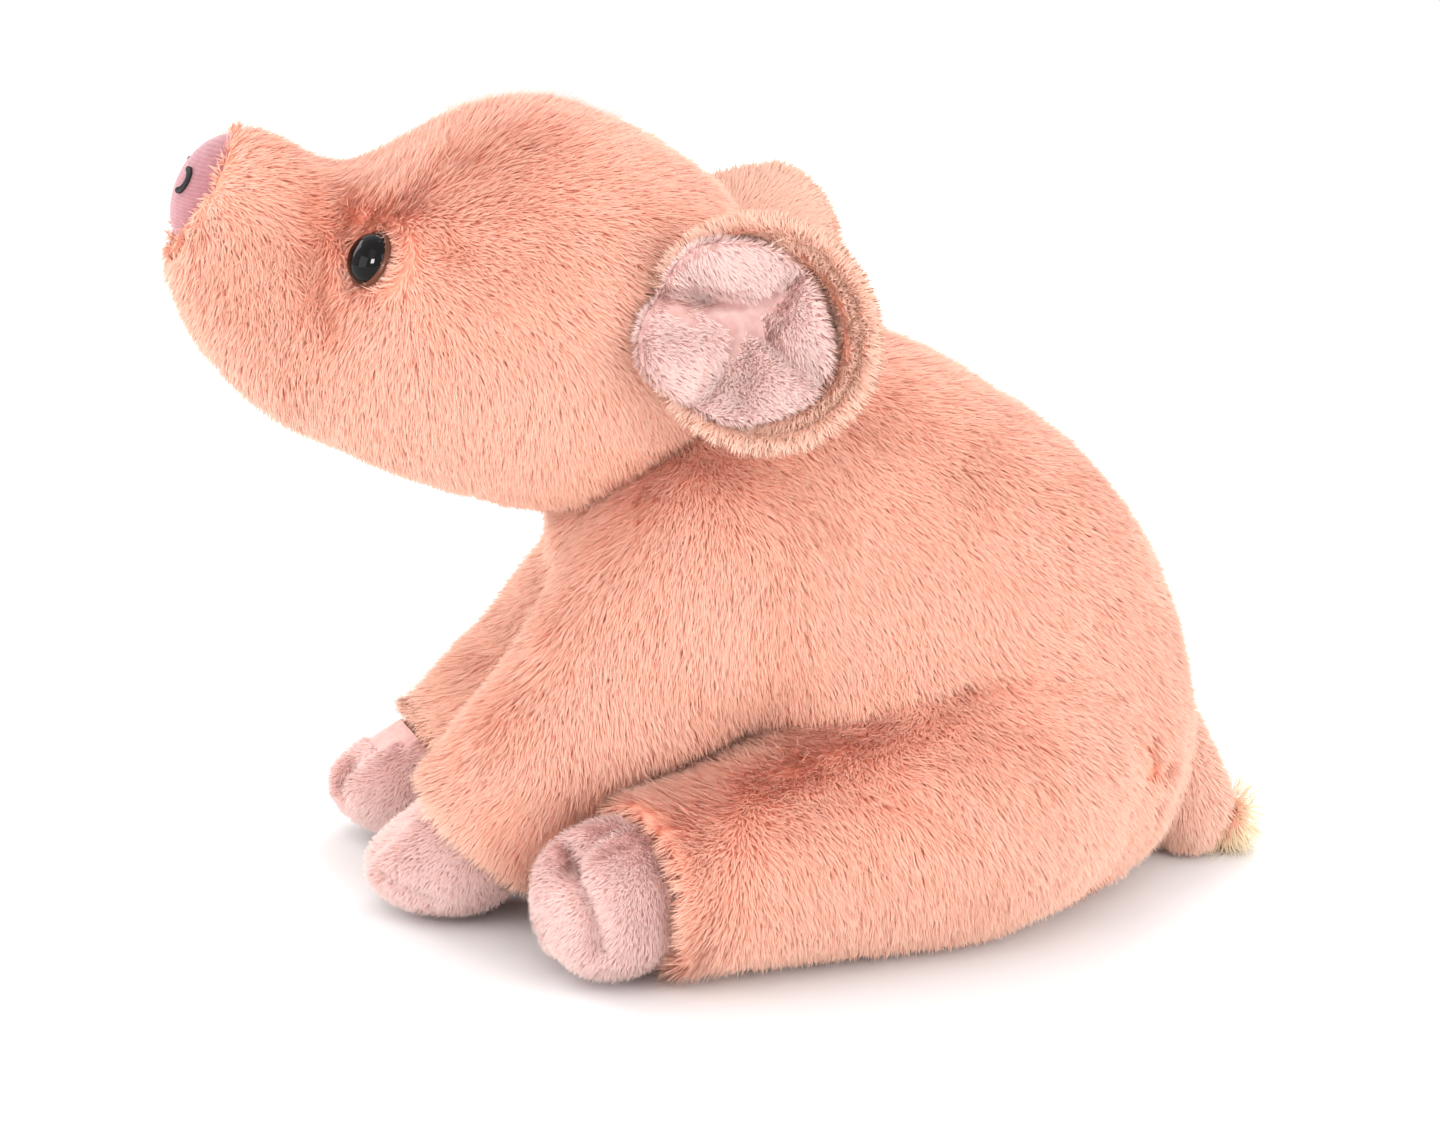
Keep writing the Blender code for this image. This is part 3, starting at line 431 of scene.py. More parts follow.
def trim(skin, amount_at):
    """Let a skin out or take it in along its normals."""
    points = skin.points + skin.normals * np.reshape(amount_at(skin.points, skin.normals), (-1, 1))
    points[:, 2] = np.maximum(points[:, 2], FLOOR_CLEARANCE)
    skin.write(points)


def swell(skin, x, y, amount, size):
    """Let a skin out, or take it in, around the place that the photograph shows at a pixel."""
    place = seen_point(skin.tree, x, y)
    if place is not None:
        away = np.linalg.norm(skin.points - np.array(place), axis=1)
        skin.write(skin.points + skin.normals * (amount * np.exp(-(away / size) ** 2))[:, None])


def ramp_between(values, low, high):
    """0 below low, 1 above high and a soft step between."""
    share = np.clip((values - low) / (high - low), 0.0, 1.0)
    return share * share * (3.0 - 2.0 * share)


def line_distance(points, line):
    """How far each point is from a line through several places."""
    nearest = np.full(len(points), 1.0)
    for start, end in zip(line[:-1], line[1:]):
        along = end - start
        share = np.clip((points - start) @ along / max(along @ along, 1e-12), 0.0, 1.0)
        nearest = np.minimum(nearest, np.linalg.norm(points - start - share[:, None] * along, axis=1))
    return nearest


def pressed_lines(skin, pixels, depth, width):
    """Press a crease into a skin along a line that the photograph shows, and return the line."""
    places = [seen_point(skin.tree, x, y) for x, y in pixels]
    line = [np.array(place) for place in places if place is not None]
    if len(line) > 1:
        reach = line_distance(skin.points, line)
        skin.write(skin.points - skin.normals * (depth * np.exp(-(reach / width) ** 2))[:, None])
    return line


# Pile
def drift(points, size):
    """A smooth seeded wander in three values, of about the given size."""
    scaled = points / size
    cell = np.floor(scaled).astype(int)
    share = scaled - cell
    share = share * share * (3.0 - 2.0 * share)
    total = np.zeros_like(points)
    for dx in (0, 1):
        for dy in (0, 1):
            for dz in (0, 1):
                corner = (cell + (dx, dy, dz)) % 32
                weight = (np.where(dx, share[:, 0], 1.0 - share[:, 0])
                          * np.where(dy, share[:, 1], 1.0 - share[:, 1])
                          * np.where(dz, share[:, 2], 1.0 - share[:, 2]))
                total += weight[:, None] * LATTICE[corner[:, 0], corner[:, 1], corner[:, 2]]
    return total


def unit(vectors):
    return vectors / np.maximum(np.linalg.norm(vectors, axis=1), 1e-9)[:, None]


def pile(name, skin, flow, material, length, width, per_area, lift=30.0, hidden_by=(), bare=(),
         creases=(), clump=0.0020, pull=0.4, wander=0.36, pale=0.0, pale_at=None):
    """Rooted fibres over what shows of a skin, leaning with the flow and gathered in small tufts.

    Around each bare place (centre, radius and least share of length) there are none, then short ones,
    and along each crease (line and spread) they part and painted shade darkens them.
    """
    shown = np.ones(len(skin.points), bool)
    for other in hidden_by:
        apart, facing = distances(skin, other)
        laid = (np.abs(apart) < LAID) & (facing > 0.6)
        clear = (apart > -SUNK) | (apart < -other.depth)
        shown &= laid | (clear & ~((np.abs(apart) < TOUCHING) & (facing < -0.4)))
    shown &= ~((skin.points[:, 2] < 0.0012) & (skin.normals[:, 2] < -0.75))
    corners = skin.corners[shown[skin.corners].any(axis=1)]
    a, b, c = (skin.points[corners[:, i]] for i in range(3))
    area = np.linalg.norm(np.cross(b - a, c - a), axis=1) / 2.0
    count = int(area.sum() * per_area)
    face = random.choice(len(corners), count, p=area / area.sum())
    u, v = random.random(count), random.random(count)
    over = u + v > 1.0
    u[over], v[over] = 1.0 - u[over], 1.0 - v[over]
    weights = np.stack([1.0 - u - v, u, v], 1)
    root = np.einsum('ij,ijk->ik', weights, skin.points[corners[face]])
    normal = unit(np.einsum('ij,ijk->ik', weights, skin.normals[corners[face]]))
    long = length * (0.72 + 0.5 * random.random(count))
    keep = np.ones(count, bool)
    for centre, radius, least in bare:
        away = np.linalg.norm(root - np.array(centre), axis=1)
        keep &= away > radius
        long *= np.clip(least + (away - radius) / (radius * 0.9), least, 1.0)
    # Nearness to a crease: it shortens the fibres and paints shade into them
    parted_and_painted_shade = np.zeros(count)
    for line, spread in creases:
        if len(line) > 1:
            parted_and_painted_shade = np.maximum(parted_and_painted_shade, np.exp(-(line_distance(root, line) / spread) ** 2))
    long *= 1.0 - 0.25 * parted_and_painted_shade
    root, normal, long, parted_and_painted_shade = root[keep], normal[keep], long[keep], parted_and_painted_shade[keep]
    count = len(root)
    lean = np.array(np.broadcast_to(np.array(flow(root), float), root.shape))
    lean = unit(lean - (lean * normal).sum(1)[:, None] * normal * 0.8)
    lean = lean + wander * drift(root, 0.020) + 0.5 * wander * drift(root + 0.5, 0.006)
    lean = lean + 0.28 * random.normal(size=root.shape)
    lean = unit(lean - (lean * normal).sum(1)[:, None] * normal)
    # Near the outline, fibres that would show their backs lean away from the camera
    toward = unit(np.array(EYE_POINT) - root)
    slope = (toward * normal).sum(1)
    toward = unit(toward - slope[:, None] * normal)
    turned = np.maximum((lean * toward).sum(1), 0.0) * 1.3 * (1.0 - ramp_between(slope, 0.30, 0.65))
    lean = unit(lean - (turned * ramp_between(slope, -0.5, -0.2))[:, None] * toward)
    rise = np.radians(lift + 7.0 * drift(root + 1.7, 0.008)[:, 0] + 8.0 * random.normal(size=count))
    across = np.cross(normal, lean)

    def step(start, angle, share):
        heading = normal * np.sin(angle)[:, None] + lean * np.cos(angle)[:, None]
        return start + heading * (long * share)[:, None]

    middle = step(root, rise - 0.10, 0.42)
    tip = step(middle, rise + 0.08, 0.58)
    cells = np.floor((root + clump * drift(root, 0.0015)) / clump).astype(np.int64)
    key = (cells[:, 0] * 73856093) ^ (cells[:, 1] * 19349663) ^ (cells[:, 2] * 83492791)
    _, owner = np.unique(key, return_inverse=True)
    members = np.bincount(owner).astype(float)
    gathered = np.stack([np.bincount(owner, tip[:, i]) / members for i in range(3)], 1)[owner]
    tip = tip + (gathered - tip) * (pull * random.random(count))[:, None]
    clump_tone = random.normal(size=len(members))[owner]
    patch = np.clip(0.5 + 0.9 * drift(root + 3.1, 0.017)[:, 1], 0.0, 1.0)
    tone = 0.82 - 0.12 * patch + (0.03 + 0.05 * patch) * (clump_tone + random.normal(size=count))
    # Painted shade: fibres along a crease are darkened towards the Shade colour
    tone = np.clip(tone + pale - 0.6 * parted_and_painted_shade, 0.02, 0.98)
    paleness = np.broadcast_to(pale_at(root) if pale_at else pale, (count,))
    half = across * width / 2.0
    places = np.stack([root, middle - half, middle + half, tip], 1)
    places[:, :, 2] = np.maximum(places[:, :, 2], FLOOR_CLEARANCE)
    facing = unit(normal + 0.20 * unit(np.cross(tip - root, across)) + 0.07 * random.normal(size=root.shape))
    pieces = max(1, math.ceil(count / PIECE_STRANDS))
    order = np.argsort(root[:, 0], kind='stable')
    made = []
    for number, chosen in enumerate(np.array_split(order, pieces), 1):
        label = name if pieces == 1 else f"{name}_{number}"
        made.append(strand_mesh(label, places[chosen], tone[chosen], facing[chosen], paleness[chosen],
                                material))
    return made


def strand_mesh(name, places, tone, facing, pale, material):
    """A mesh of fibres, each a slim kite that is bent across its middle and shaded as the pile is."""
    count = len(places)
    first = np.arange(count)[:, None] * 4
    loops = np.concatenate([first + (0, 1, 2), first + (1, 3, 2)], 1).astype(np.int32)
    mesh = bpy.data.meshes.new(name)
    mesh.vertices.add(count * 4)
    mesh.vertices.foreach_set("co", places.astype(np.float32).ravel())
    mesh.loops.add(count * 6)
    mesh.loops.foreach_set("vertex_index", loops.ravel())
    mesh.polygons.add(count * 2)
    mesh.polygons.foreach_set("loop_start", (np.arange(count * 2) * 3).astype(np.int32))
    waist = KITE_WAIST
    heights = np.tile(np.array([0.0, waist, waist, waist, 1.0, waist]), (count, 1))
    heights = pale[:, None] + (1.0 - pale[:, None]) * heights
    tones = tone[:, None] + TONE_SPREAD * np.array([0.0, -1.0, 1.0, -1.0, 0.0, 1.0])
    place = np.stack([tones, 0.02 + 0.96 * heights], 2)
    layer = mesh.uv_layers.new(name="OFBake")
    layer.data.foreach_set("uv", place.astype(np.float32).ravel())
    mesh.update(calc_edges=True)
    mesh.validate()
    mesh.shade_smooth()
    mesh.normals_split_custom_set_from_vertices(np.repeat(facing, 4, 0).tolist())
    mesh.materials.append(material)
    piece = bpy.data.objects.new(name, mesh)
    bpy.context.scene.collection.objects.link(piece)
    return piece


# Head directions
def head_axes():
    ahead = Vector((-math.cos(HEAD_PITCH) * math.cos(HEAD_TURN), math.cos(HEAD_PITCH) * math.sin(HEAD_TURN),
                    math.sin(HEAD_PITCH)))
    right = Vector((math.sin(HEAD_TURN), math.cos(HEAD_TURN), 0.0))
    return right, ahead, right.cross(ahead)


RIGHT, FACING, CROWN = head_axes()
joints = {joint["name"]: joint for joint in frame["joints"]}


def pivot_of(joint):
    return Vector(joints[joint]["pos_m"])


def middle_of(node):
    low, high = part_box(node)
    return (low + high) / 2.0


place_camera()

# Skins of every stuffed piece
body = stuffed_skin("body_skin", ("body_fur", "body_stuffing"), 0.0026, 8, FUR_BACKING)
head = stuffed_skin("head_skin", ("head_fur", "head_stuffing"), 0.0022, 4, FUR_BACKING)
front, rear, front_hoof, rear_hoof, ear, lining = {}, {}, {}, {}, {}, {}
for side in SIDES:
    front[side] = stuffed_skin(f"front_leg_skin_{side}", (f"front_leg_{side}",), 0.0022, 6, FUR_BACKING)
    rear[side] = stuffed_skin(f"rear_leg_skin_{side}", (f"rear_leg_{side}",), 0.0022, 6, FUR_BACKING)
    front_hoof[side] = stuffed_skin(f"front_hoof_skin_{side}", (f"front_hoof_{side}",), 0.0012, 4,
                                    PLUSH_BACKING)
    rear_hoof[side] = stuffed_skin(f"rear_hoof_skin_{side}", (f"rear_hoof_{side}",), 0.0012, 4,
                                   PLUSH_BACKING)
    ear[side] = stuffed_skin(f"ear_skin_{side}", (f"ear_back_{side}",), 0.0011, 3, FUR_BACKING)
    lining[side] = stuffed_skin(f"ear_lining_skin_{side}", (f"ear_lining_{side}",), 0.0009, 2,
                                PLUSH_BACKING)
tail = stuffed_skin("tail_skin", ("tail",), 0.0016, 4, FUR_BACKING)
tuft = stuffed_skin("tuft_skin", ("tail_tuft",), 0.0010, 2, FUR_BACKING)


fill_joins([(body, front[side], 0.014) for side in SIDES] + [(body, rear[side], 0.014) for side in SIDES]
           + [(body, head, 0.007), (body, tail, 0.006)])


def shoulder(points):
    return ramp_between(points[:, 2], 0.044, 0.066) * ramp_between(-points[:, 0], 0.010, 0.035)


def haunch(points):
    return ramp_between(points[:, 0], -0.034, 0.010)


# The thigh runs into the rump, and the shoulder into the back, with no seam that shows
whole = stuffed_skin("whole_skin", ("body_fur", "body_stuffing", "front_leg_left", "front_leg_right",
                                    "rear_leg_left", "rear_leg_right"), 0.0032, 150, FUR_BACKING)
trim(whole, lambda points, normals: 0.0010)
drawn_over([(body, list(front.values()), shoulder), (body, list(rear.values()), haunch)]
           + [(skin, [body], shoulder) for skin in front.values()]
           + [(skin, [body], haunch) for skin in rear.values()], whole)
bpy.data.objects.remove(whole.piece, do_unlink=True)

# Pixels of the photograph where its outline lies further out or in, with the amount and its reach
trim(head, lambda points, normals: -0.0006 - 0.0005 * (normals @ np.array(CROWN)))
for x, y, amount, size in ((178, 290, -0.0030, 0.016), (305, 395, 0.0034, 0.020), (385, 432, 0.0032, 0.021),
                           (245, 350, 0.0018, 0.015), (470, 470, 0.0012, 0.016), (285, 160, 0.0018, 0.014),
                           (350, 172, -0.0028, 0.018), (398, 146, -0.0028, 0.023), (530, 108, 0.0014, 0.018),
                           (262, 140, 0.0010, 0.012), (640, 140, -0.0018, 0.020), (402, 275, 0.0014, 0.009)):
    swell(head, x, y, amount, size)
for x, y, amount, size in ((1165, 675, -0.0020, 0.022), (1062, 455, 0.0016, 0.018), (575, 540, 0.0030, 0.014),
                           (1158, 759, 0.0026, 0.010)):
    swell(body, x, y, amount, size)
trim(front["right"], lambda points, normals: -0.0046 * ramp_between(-normals[:, 0], 0.1, 0.7))
trim(tail, lambda points, normals: -0.0006 - 0.0006 * ramp_between(normals[:, 0], 0.1, 0.7))
# The tuft's solid stands for loose fibres, so their root lies close on the tail
TUFT_SINK = 0.45
tuft.write(np.array([point + (np.array(tail.tree.find_nearest(point)[0]) - point) * TUFT_SINK
                     for point in tuft.points]))
for side in SIDES:
    trim(front_hoof[side], lambda points, normals: -0.0010)
    trim(rear_hoof[side], lambda points, normals: -0.0016)
    trim(ear[side], lambda points, normals: -0.0018)
swell(front_hoof["right"], 345, 795, 0.0006, 0.018)
swell(rear["left"], 1148, 759, -0.0012, 0.010)

# Creases that the photograph shows, through its pixels, each with its depth and width
thigh = [pressed_lines(rear["left"], ((880, 788), (925, 805), (970, 828)), 0.0012, 0.0026)]
fold = [pressed_lines(body, ((882, 702), (920, 698), (985, 697)), 0.0012, 0.0024)]
snout = [pressed_lines(head, line, 0.0014, 0.0035) for line in (
    ((300, 195), (312, 240), (305, 290)), ((332, 205), (345, 240)), ((320, 270), (335, 320)))]
dimple = [pressed_lines(head, ((432, 244), (448, 247)), 0.0022, 0.0040)]
gap = [pressed_lines(skin, ((668, 792), (700, 772), (732, 748)), 0.0036, 0.0050)
       for skin in (front["left"], body)]
clefts = [pressed_lines(rear_hoof["left"], ((568, 840), (575, 860), (585, 890), (597, 922), (604, 950)),
                        0.0036, 0.0030),
          pressed_lines(front_hoof["left"], ((380, 868), (396, 880), (412, 889), (432, 897)),
                        0.0020, 0.0024),
          pressed_lines(front_hoof["right"], ((356, 764), (347, 780), (343, 800)), 0.0036, 0.0028)]

# Lobes and folds of a lining, in metres ahead of the root and up its line, with their sizes
LOBES = ((0.0105, 0.0120, 0.0046, 0.0090), (0.0360, 0.0085, 0.0040, 0.0100),
         (0.0340, -0.0135, 0.0038, 0.0095), (0.0100, -0.0140, 0.0044, 0.0105))
PLEAT = ((-0.0050, -0.0030), (0.0020, -0.0010), (0.0100, 0.0012), (0.0200, 0.0045))
SOFT_FOLDS = (((0.0200, 0.0045), (0.0265, 0.0090), (0.0290, 0.0180)),
              ((0.0205, 0.0030), (0.0215, -0.0100), (0.0205, -0.0240)),
              ((0.0220, 0.0010), (0.0330, -0.0025), (0.0450, -0.0040)))


def ear_axes(side):
    """Along an ear from its root, up its root line and out of its lined face."""
    sign, flare, lean = SIDES[side], EAR_FLARE[side], EAR_LEAN[side]
    back = math.cos(flare)
    along = RIGHT * (sign * math.sin(flare)) - (FACING * math.cos(lean) + CROWN * math.sin(lean)) * back
    upward = CROWN * math.cos(lean) - FACING * math.sin(lean)
    upward = (upward - along * upward.dot(along)).normalized()
    return np.array((along, upward, along.cross(upward) * -sign))


def shape_ear(side):
    """Draw the lining out over the root, swell its lobes, press its folds and raise the ring round it.

    Returns the folds.
    """
    axes, root = ear_axes(side), np.array(pivot_of(f"ear_{side}_fold"))

    def outline_share(u, v):
        return np.hypot((u - EAR_MIDDLE) / EAR_HALF[0], v / EAR_HALF[1])

    skin = lining[side]
    u, v, w = ((skin.points - root) @ axes.T).T
    outward = ramp_between(skin.normals @ axes[2], 0.0, 0.5)
    angle = np.arctan2(v, u - EAR_MIDDLE)
    wide = 1.05 + 0.045 * np.cos(3.0 * angle + 0.6) + 0.025 * np.cos(5.0 * angle)
    new_u = EAR_MIDDLE + (u - EAR_MIDDLE) * wide - 0.0050
    new_v = v * wide - 0.0020
    share = outline_share(new_u, new_v)
    w = (w + EAR_CUP * (share ** 2 - outline_share(u, v) ** 2)
         + LINING_RISE * ramp_between(share, 0.60, 0.90) + LINING_RISE * outward)
    for middle_u, middle_v, height, size in LOBES:
        away = np.hypot(new_u - middle_u, new_v - middle_v)
        w += outward * height * np.exp(-(away / size) ** 2)
    flat = np.stack([new_u, new_v, np.zeros_like(w)], 1)
    lines, pressed = [], np.zeros_like(w)
    for number, line in enumerate((PLEAT, *SOFT_FOLDS)):
        line = [np.array((*place, 0.0)) for place in line]
        depth, width = (0.0046, 0.0022) if number == 0 else (0.0022, 0.0028)
        pressed = np.maximum(pressed, depth * np.exp(-(line_distance(flat, line) / width) ** 2))
        lines.append(line)
    w -= outward * pressed
    skin.write(root + np.stack([new_u, new_v, w], 1) @ axes)
    back = ear[side]
    u, v, w = ((back.points - root) @ axes.T).T
    share = outline_share(u, v)
    lined = ramp_between(back.normals @ axes[2], -0.2, 0.4)
    w = w + lined * RIM_ROLL[side] * ramp_between(share, 0.56, 0.84)
    # The ring between the lining and the rim stands as high as the rim
    turn = (np.arctan2(v, u - EAR_MIDDLE) + math.pi) / (2.0 * math.pi)
    sector = (turn * (RIM_SECTORS - 0.001)).astype(int)
    crest = np.array([np.percentile(w[(sector == i) & (share > 0.80)], 92) for i in range(RIM_SECTORS)])
    crest = (np.roll(crest, 1) + crest + np.roll(crest, -1))[sector] / 3.0
    ring = ramp_between(share, 0.60, 0.76) * ramp_between(u - EAR_MIDDLE, -0.016, -0.002)
    w = w + lined * ring * 0.85 * np.clip(crest - 0.0012 - w, 0.0, 0.0060)
    back.write(root + np.stack([u, v, w], 1) @ axes)
    placed = []
    for line in lines:
        spots = [root + place @ axes for place in line]
        placed.append([np.array(skin.tree.find_nearest(Vector(spot) + Vector(axes[2]) * 0.01)[0])
                       for spot in spots])
    return placed


folds = {side: shape_ear(side) for side in SIDES}
axes, root = ear_axes("right"), np.array(pivot_of("ear_right_fold"))
for skin in (ear["right"], lining["right"]):
    local = (skin.points - root) @ axes.T
    local[:, 0] *= 1.0 + (FAR_EAR_STRETCH - 1.0) * ramp_between(local[:, 0], 0.004, 0.020)
    local[:, 0] += 0.0016 * ramp_between(local[:, 0], 0.000, 0.014)
    local[:, 1] *= np.where(local[:, 1] > 0.0, 0.64 + 0.42 * ramp_between(local[:, 0], 0.008, 0.038), 1.0)
    skin.write(root + local @ axes)

# Pile
DOWN = np.array((0.0, 0.0, -1.0))
BACK = np.array((0.45, 0.0, -1.0))


def mixed(share, first, second):
    return first + (second - first) * share[:, None]


def head_flow(points):
    """Back over the crown, down the cheeks, away from the nose and in at the rear of each eye."""
    facing = np.array(FACING)
    high = ramp_between((points - np.array(middle_of("head_fur"))) @ np.array(CROWN), -0.010, 0.030)
    lean = mixed(high, -0.35 * facing + DOWN, -facing + 0.25 * DOWN)
    away = points - nose_place
    lean = mixed(1.0 - ramp_between(np.linalg.norm(away, axis=1), 0.016, 0.034), lean, unit(away))
    for place in eye_places.values():
        toward = np.array(place + CROWN * 0.0020) - points
        behind = ramp_between(toward @ facing, -0.002, 0.006)
        near = 1.0 - ramp_between(np.linalg.norm(toward, axis=1), 0.0080, 0.0125)
        lean = mixed(near * behind, lean, unit(toward))
    return lean


def rear_flow(down):
    def flow(points):
        lean = mixed(ramp_between(-points[:, 0], -0.010, 0.050), BACK, np.array((0.12, 0.0, -1.0)))
        return mixed(ramp_between(-points[:, 0], 0.082, 0.100), lean, down)
    return flow


def front_flow(down):
    def flow(points):
        return mixed(1.0 - ramp_between(points[:, 2], 0.036, 0.056), np.array((0.10, 0.0, -1.0)), down)
    return flow


def ear_flow(side):
    """Outward from the middle of the lining and over the rim."""
    root = np.array(pivot_of(f"ear_{side}_fold"))
    centre = root + np.array((EAR_MIDDLE - 0.004, 0.0, -0.006)) @ ear_axes(side)
    return lambda points: points - centre


eye_places = {side: middle_of(f"eye_{side}") for side in SIDES}
nose_place = np.array(middle_of("nose_pad"))
body_pile = pile("body_pile", body, lambda p: BACK, FUR, FUR_LENGTH, FUR_WIDTH, FUR_PER_AREA,
                 hidden_by=(head, *front.values(), *rear.values(), tail),
                 creases=[(line, 0.0014) for line in fold] + [(line, 0.0034) for line in gap])


def nose_paleness(points):
    """Paler where the fur ends round the nose pad."""
    return 0.6 * (1.0 - ramp_between(np.linalg.norm(points - nose_place, axis=1), 0.0165, 0.0230))


head_pile = pile("head_pile", head, head_flow, FUR, FUR_LENGTH * 0.92, FUR_WIDTH,
                 FUR_PER_AREA, hidden_by=(body,),
                 bare=[(place + FACING * 0.0018 + CROWN * 0.0024, 0.0055, 0.80)
                       for place in eye_places.values()] + [(nose_place, 0.0162, 0.65)],
                 creases=[(line, 0.0042) for line in snout + dimple], pale_at=nose_paleness)
leg_pile, plush_pile = {}, {}
left_lines = {"front": [(line, 0.0026) for line in gap], "rear": [(line, 0.0014) for line in thigh]}
for side in SIDES:
    for name, skins, hooves, flow in (("front", front, front_hoof, front_flow),
                                      ("rear", rear, rear_hoof, rear_flow)):
        down = np.array((middle_of(f"{name}_hoof_{side}") - middle_of(f"{name}_leg_{side}")).normalized())
        last = (skins[side].points @ down).max()
        # Painted light: the far foreleg's fur is made paler all over, for the light that shines through it
        painted_backlight_paleness = 0.45 if (name, side) == ("front", "right") else 0.0
        leg_pile[name, side] = pile(
            f"{name}_leg_pile_{side}", skins[side], flow(down), FUR, FUR_LENGTH,
            FUR_WIDTH, FUR_PER_AREA, hidden_by=(body, hooves[side]),
            creases=left_lines[name] if side == "left" else (),
            pale_at=lambda p, d=down, e=last, b=painted_backlight_paleness: b + 0.5 * ramp_between(p @ d, e - 0.010, e - 0.003))
        plush_pile[name, side] = pile(
            f"{name}_hoof_pile_{side}", hooves[side], lambda p, d=down: d + DOWN, PLUSH,
            PLUSH_LENGTH, PLUSH_WIDTH, PLUSH_PER_AREA, lift=42.0, hidden_by=(skins[side],), clump=0.0012,
            wander=0.7, pull=0.25, pale=0.04, creases=[(line, 0.0012) for line in clefts])
ear_pile, lining_pile = {}, {}
for side in SIDES:
    out = middle_of(f"ear_back_{side}") - pivot_of(f"ear_{side}_fold")
    ear_pile[side] = pile(f"ear_pile_{side}", ear[side], ear_flow(side), FUR, FUR_LENGTH * 0.80, FUR_WIDTH,
                          FUR_PER_AREA * 1.5, lift=34.0, pale=0.75, pull=0.15,
                          hidden_by=(lining[side], head))
    lining_pile[side] = pile(f"ear_lining_pile_{side}", lining[side], lambda p, d=out: tuple(d.normalized()),
                             PLUSH, PLUSH_LENGTH * 1.1, PLUSH_WIDTH, PLUSH_PER_AREA, lift=42.0, pale=0.30,
                             hidden_by=(ear[side],), clump=0.0012, wander=0.7,
                             creases=[(line, 0.0018) for line in folds[side]])
# Painted light: the tail's fur and its end are made paler, for the light that shines through them
tail_pile = (pile("tail_pile", tail, lambda p: (0.3, 0.0, -1.0), FUR, FUR_LENGTH * 0.85, FUR_WIDTH,
                  FUR_PER_AREA, hidden_by=(body,), pale=0.30)
             + pile("tail_end_pile", tuft, lambda p: (0.3, 0.0, -1.0), FUR, FUR_LENGTH * 0.8, FUR_WIDTH,
                    FUR_PER_AREA, hidden_by=(tail,), pale=0.35))
tail_middle = np.array(middle_of("tail"))
tuft_pile = pile("tuft_pile", tuft, lambda p: p - tail_middle, TUFT, 0.0120, 0.00048, 2.4e6, lift=40.0,
                 hidden_by=(tail,), clump=0.0030, pull=0.7, wander=0.5)


# Nose pad and nostrils
nose = stuffed_skin("nose_knit_pad", ("nose_pad",), 0.0007, 6, KNIT)


def nostril(side):
    """An open arc of satin stitches, one slanted stitch beside the next."""
    axes = Matrix((RIGHT, FACING, CROWN)).transposed().to_4x4()
    place = (Matrix.Translation(HEAD_MIDDLE) @ axes @ Matrix.Translation((0.0, NOSE_REACH, NOSE_RISE))
             @ Matrix.Rotation(NOSE_TURN, 4, 'Z') @ Matrix.Rotation(NOSE_TILT, 4, 'X'))
    bpy.ops.object.select_all(action='DESELECT')
    bpy.ops.mesh.primitive_uv_sphere_add(segments=12, ring_count=160, radius=1.0)
    piece = bpy.context.object
    piece.name = f"nostril_stitch_{side}"
    shape = np.array([v.co for v in piece.data.vertices])
    along = np.arccos(np.clip(shape[:, 2], -1.0, 1.0)) / math.pi
    around = np.arctan2(shape[:, 1], shape[:, 0])
    angle = NOSTRIL_SWEEP * (along - 0.5)
    ends = np.sqrt(np.clip(np.minimum(along, 1.0 - along) / 0.05, 0.0, 1.0))
    thick = 0.00072 * ends * (1.0 + 0.20 * np.cos(2.0 * math.pi * 26.0 * along + around))
    offset_x = SIDES[side] * (NOSTRIL_OFFSET + NOSTRIL_SHIFT[side] + NOSTRIL_SIZE[0] * 0.85 * np.cos(angle))
    offset_z = NOSTRIL_SIZE[1] * 0.76 * np.sin(angle) + 0.0004
    places = np.empty_like(shape)
    for i in range(len(shape)):
        out = (offset_x[i] ** 2 + offset_z[i] ** 2) / NOSE_RADIUS ** 2
        height = NOSE_BULGE * math.sqrt(max(0.0, 1.0 - out))
        found, normal, _, _ = nose.tree.find_nearest(place @ Vector((offset_x[i], height, offset_z[i])))
        heading = place.to_3x3() @ Vector((-SIDES[side] * NOSTRIL_SIZE[0] * math.sin(angle[i]), 0.0,
                                           NOSTRIL_SIZE[1] * math.cos(angle[i])))
        sideways = heading.cross(normal).normalized()
        places[i] = found + normal * (thick[i] * math.sin(around[i]) + 0.0004) + sideways * (
            thick[i] * math.cos(around[i]))
    piece.data.vertices.foreach_set("co", places.astype(np.float32).ravel())
    piece.data.update()
    bpy.ops.object.mode_set(mode='EDIT')
    bpy.ops.mesh.select_all(action='SELECT')
    bpy.ops.mesh.normals_make_consistent(inside=False)
    bpy.ops.object.mode_set(mode='OBJECT')
    bpy.ops.object.shade_smooth()
    piece.data.materials.append(THREAD)
    return piece


